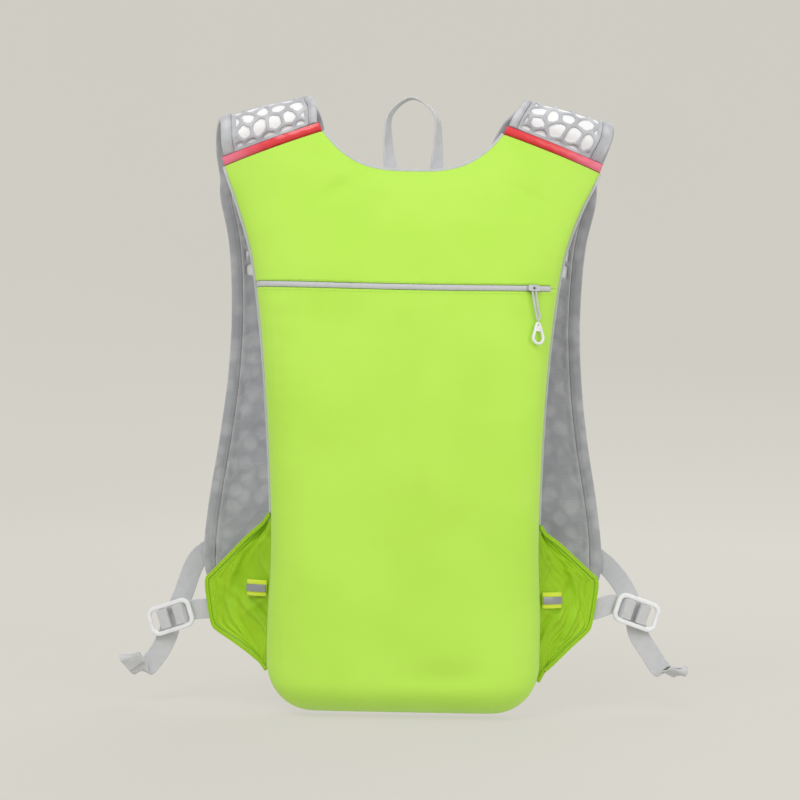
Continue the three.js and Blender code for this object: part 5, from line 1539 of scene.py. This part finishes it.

# %% [markdown]
# ## Stitching
# Seams are what makes sewn work look sewn. One stitch is a short arched thread, a few dozen faces, and a row of them
# lies along a line of places with the surface's own normal. The rows run along both sides of the zip on the cover,
# beside the hems of the straps, on the red trims and beside the outer edges of the wings.


# %% Rows of stitches
def stitch_row(line, normals, pitch=2.6, length=1.9, radius=0.22, lift=0.05):
    """Stitches at even lengths: each a five-sided tube that bows out of the cloth by half its radius."""
    steps = np.linalg.norm(np.diff(line, axis=0), axis=1)
    length_at = np.concatenate([[0], np.cumsum(steps)])
    count = max(int(length_at[-1] / pitch), 1)
    at = (np.arange(count) + 0.5) * pitch
    pick = lambda values: np.stack([np.interp(at, length_at, values[:, k]) for k in range(3)], -1)
    middle, normal = pick(line), unit(pick(normals))
    run = unit(pick(directions(line)))
    side = np.cross(run, normal)
    t = np.linspace(-0.5, 0.5, 5)
    turn = np.linspace(0, 2 * np.pi, 5, endpoint=False)
    swell_out = radius * np.sqrt(np.clip(1 - (2 * t) ** 4, 0.05, 1))
    bow = lift + radius * 1.2 * np.cos(t * np.pi)
    offset = (run[:, None, None] * (t * length)[None, :, None, None]
              + normal[:, None, None] * (bow[:, None] + swell_out[:, None] * np.sin(turn))[None, ..., None]
              + side[:, None, None] * (swell_out[:, None] * np.cos(turn))[None, ..., None])
    points = (middle[:, None, None] + offset).reshape(-1, 3)
    number = np.arange(25).reshape(5, 5)
    ring = np.roll(number, -1, axis=1)
    quads = np.stack([number[:-1], ring[:-1], ring[1:], number[1:]], -1).reshape(-1, 4)
    if outwards(points[:25], quads)[0][0] != quads[0][0]:
        quads, caps = quads[:, ::-1], [number[0], number[-1][::-1]]
    else:
        caps = [number[0][::-1], number[-1]]
    starts = np.arange(count) * 25
    faces = (quads[None] + starts[:, None, None]).reshape(-1, 4).tolist()
    faces += [(cap + start).tolist() for start in starts for cap in caps]
    return points, faces, np.zeros((len(points), 2))


grey_rows, lime_rows = [], []
for sign in (-1, 1):
    rows, length, _ = strap_length(sign)
    row = np.linspace(0.05, LAST_ROW - 0.05, 400)
    for from_inner in (INNER_HEM - 1.5, strap_width(sign, row) - OUTER_HEM + 1.5):
        for through, face in ((HEM_THICKNESS / 2 - 0.75, 1), (-HEM_THICKNESS / 2 + 0.75, -1)):
            base = strap_point(sign, row, from_inner, through)
            normal = unit(strap_point(sign, row, from_inner, through + 1) - base) * face
            grey_rows.append(stitch_row(base, normal, 3.0, 2.1, 0.2))
    share = np.linspace(0.02, 0.98, 60)
    for rise in (1.1, TRIM_WIDTH - 0.9):
        base = seam_place(share, rise) * [sign, 1, 1]
        base[:, 1] = seam_depth(np.abs(base[:, 0]), base[:, 2]) - TRIM_DEPTH + 0.75
        front = np.broadcast_to([0.0, -1, 0], base.shape)
        if rise > 2:
            grey_rows.append(stitch_row(base, front, 2.6, 1.8, 0.18))
    row = np.linspace(0.1, 9.9, 220)
    for through, face in ((0.75, 1), (-0.75, -1)):
        base = wing_point(sign, 0.955, row, through)
        normal = np.broadcast_to(wing_face(sign) * face, base.shape)
        lime_rows.append(stitch_row(base, normal, 2.4, 1.7, 0.2))
share = np.linspace(-0.965, 0.965, 300)
for rise in (-ZIP_BAND_WIDTH / 2 - 1.8, ZIP_BAND_WIDTH / 2 + 1.8):
    height = zip_line(share) + rise
    x = share * half_width(height, share)
    dip = cover_point(share, height, 0.0, swell(x, height) * (1 - np.abs(share) ** 6))
    front = np.broadcast_to([0.0, -1, 0], dip.shape)
    lime_rows.append(stitch_row(dip, front, 2.6, 1.9, 0.2, 0.15))
new_piece("grey_stitching", *joined(*grey_rows), sewing_thread, "grey_tape")
new_piece("lime_stitching", *joined(*lime_rows), lime_thread, "lime_nylon")

# %% [markdown]
# ## Studio
# The stage is one pale bowl: a flat floor just under the bag that curves up far away on every side, so no horizon
# shows from any angle. A wide soft light from the front and above does the modelling, a weaker one fills from the
# other side, and the sky's even light keeps the shadows soft.

# %% Floor and lights
FLOOR_GAP = 2.5
BOWL_FLAT = 2400
BOWL_CURVE = 2200


def bowl():
    """Flat disc, then a quarter circle up, turned round the middle."""
    turn = np.linspace(0, np.pi / 2 * 0.8, 30)
    radius = np.concatenate([np.linspace(0.001, BOWL_FLAT, 12)[:-1], BOWL_FLAT + BOWL_CURVE * np.sin(turn)])
    rise = np.concatenate([np.zeros(11), BOWL_CURVE * (1 - np.cos(turn))]) - FLOOR_GAP
    around = np.linspace(0, 2 * np.pi, 97)[:-1]
    x = radius[:, None] * np.cos(around)
    y = radius[:, None] * np.sin(around)
    points = np.stack([x, y, np.broadcast_to(rise[:, None], x.shape)], -1)
    number = np.arange(points.shape[0] * 96).reshape(-1, 96)
    ring = np.roll(number, -1, axis=1)
    faces = np.stack([number[:-1], ring[:-1], ring[1:], number[1:]], -1).reshape(-1, 4)[:, ::-1]
    return points.reshape(-1, 3), faces


def studio_paper():
    """Matt paper with a barely visible grain, lit a little from within so that it looks even from every side."""
    finish = Finish("studio_paper", Specular_IOR_Level=0.1, Roughness=0.95, Emission_Strength=0.84)
    grain = finish.noise(finish.place(), 400, 2.0)
    finish.shade(
        Base_Color=finish.mixed(grain, paint(212, 209, 201, 0.2), paint(210, 207, 199, 0.2)),
        Emission_Color=finish.mixed(grain, paint(209, 206, 198), paint(208, 205, 197)),
    )
    return finish.material


bowl_points, bowl_faces = bowl()
floor_mesh = bpy.data.meshes.new("studio_floor")
floor_mesh.from_pydata(in_frame(bowl_points).tolist(), [], bowl_faces.tolist())
floor_mesh.polygons.foreach_set("use_smooth", np.full(len(floor_mesh.polygons), True))
floor_mesh.materials.append(studio_paper())
floor = bpy.data.objects.new("studio_floor", floor_mesh)
bpy.context.scene.collection.objects.link(floor)
floor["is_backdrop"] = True


def soft_light(name, place, size, power, colour=(1, 1, 1)):
    """Square area light at a place in the frame, turned towards the bag's middle."""
    data = bpy.data.lights.new(name, "AREA")
    data.shape, data.size, data.energy, data.color = "SQUARE", size, power, colour
    light = bpy.data.objects.new(name, data)
    light.location = place
    middle = in_frame([0, 0, 230])
    light.rotation_euler = Matrix(np.eye(3)).to_euler()
    back = unit(np.array(place) - middle)
    right = unit(np.cross([0, 0, 1], back))
    light.rotation_euler = Matrix(np.stack([right, np.cross(back, right), back], -1).tolist()).to_euler()
    bpy.context.scene.collection.objects.link(light)


soft_light("front_light", (-0.9, -2.0, 1.9), 1.5, 34)
soft_light("fill_light", (1.5, -1.8, 0.5), 1.6, 14)
soft_light("rear_light", (0.8, 2.4, 1.4), 1.8, 30)
world = bpy.data.worlds.new("studio_sky")
world.use_nodes = True
world.node_tree.nodes["Background"].inputs["Color"].default_value = (1, 0.99, 0.97, 1)
world.node_tree.nodes["Background"].inputs["Strength"].default_value = 0.62
bpy.context.scene.world = world
bpy.context.scene.view_settings.view_transform = "Standard"
print("floor lies", FLOOR_GAP, "mm under the bag")

# %% [markdown]
# ## Sizes of frame and dressed bag
# Cloth may stand a little proud of its solid, but the backpack keeps the frame's size. Both boxes are written out
# so that they can be compared.

# %% Sizes
visual_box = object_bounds()
for label, box in (("frame", frame_box), ("dressed", visual_box)):
    print(label, "box:", [round(v, 4) for corner in box for v in corner])
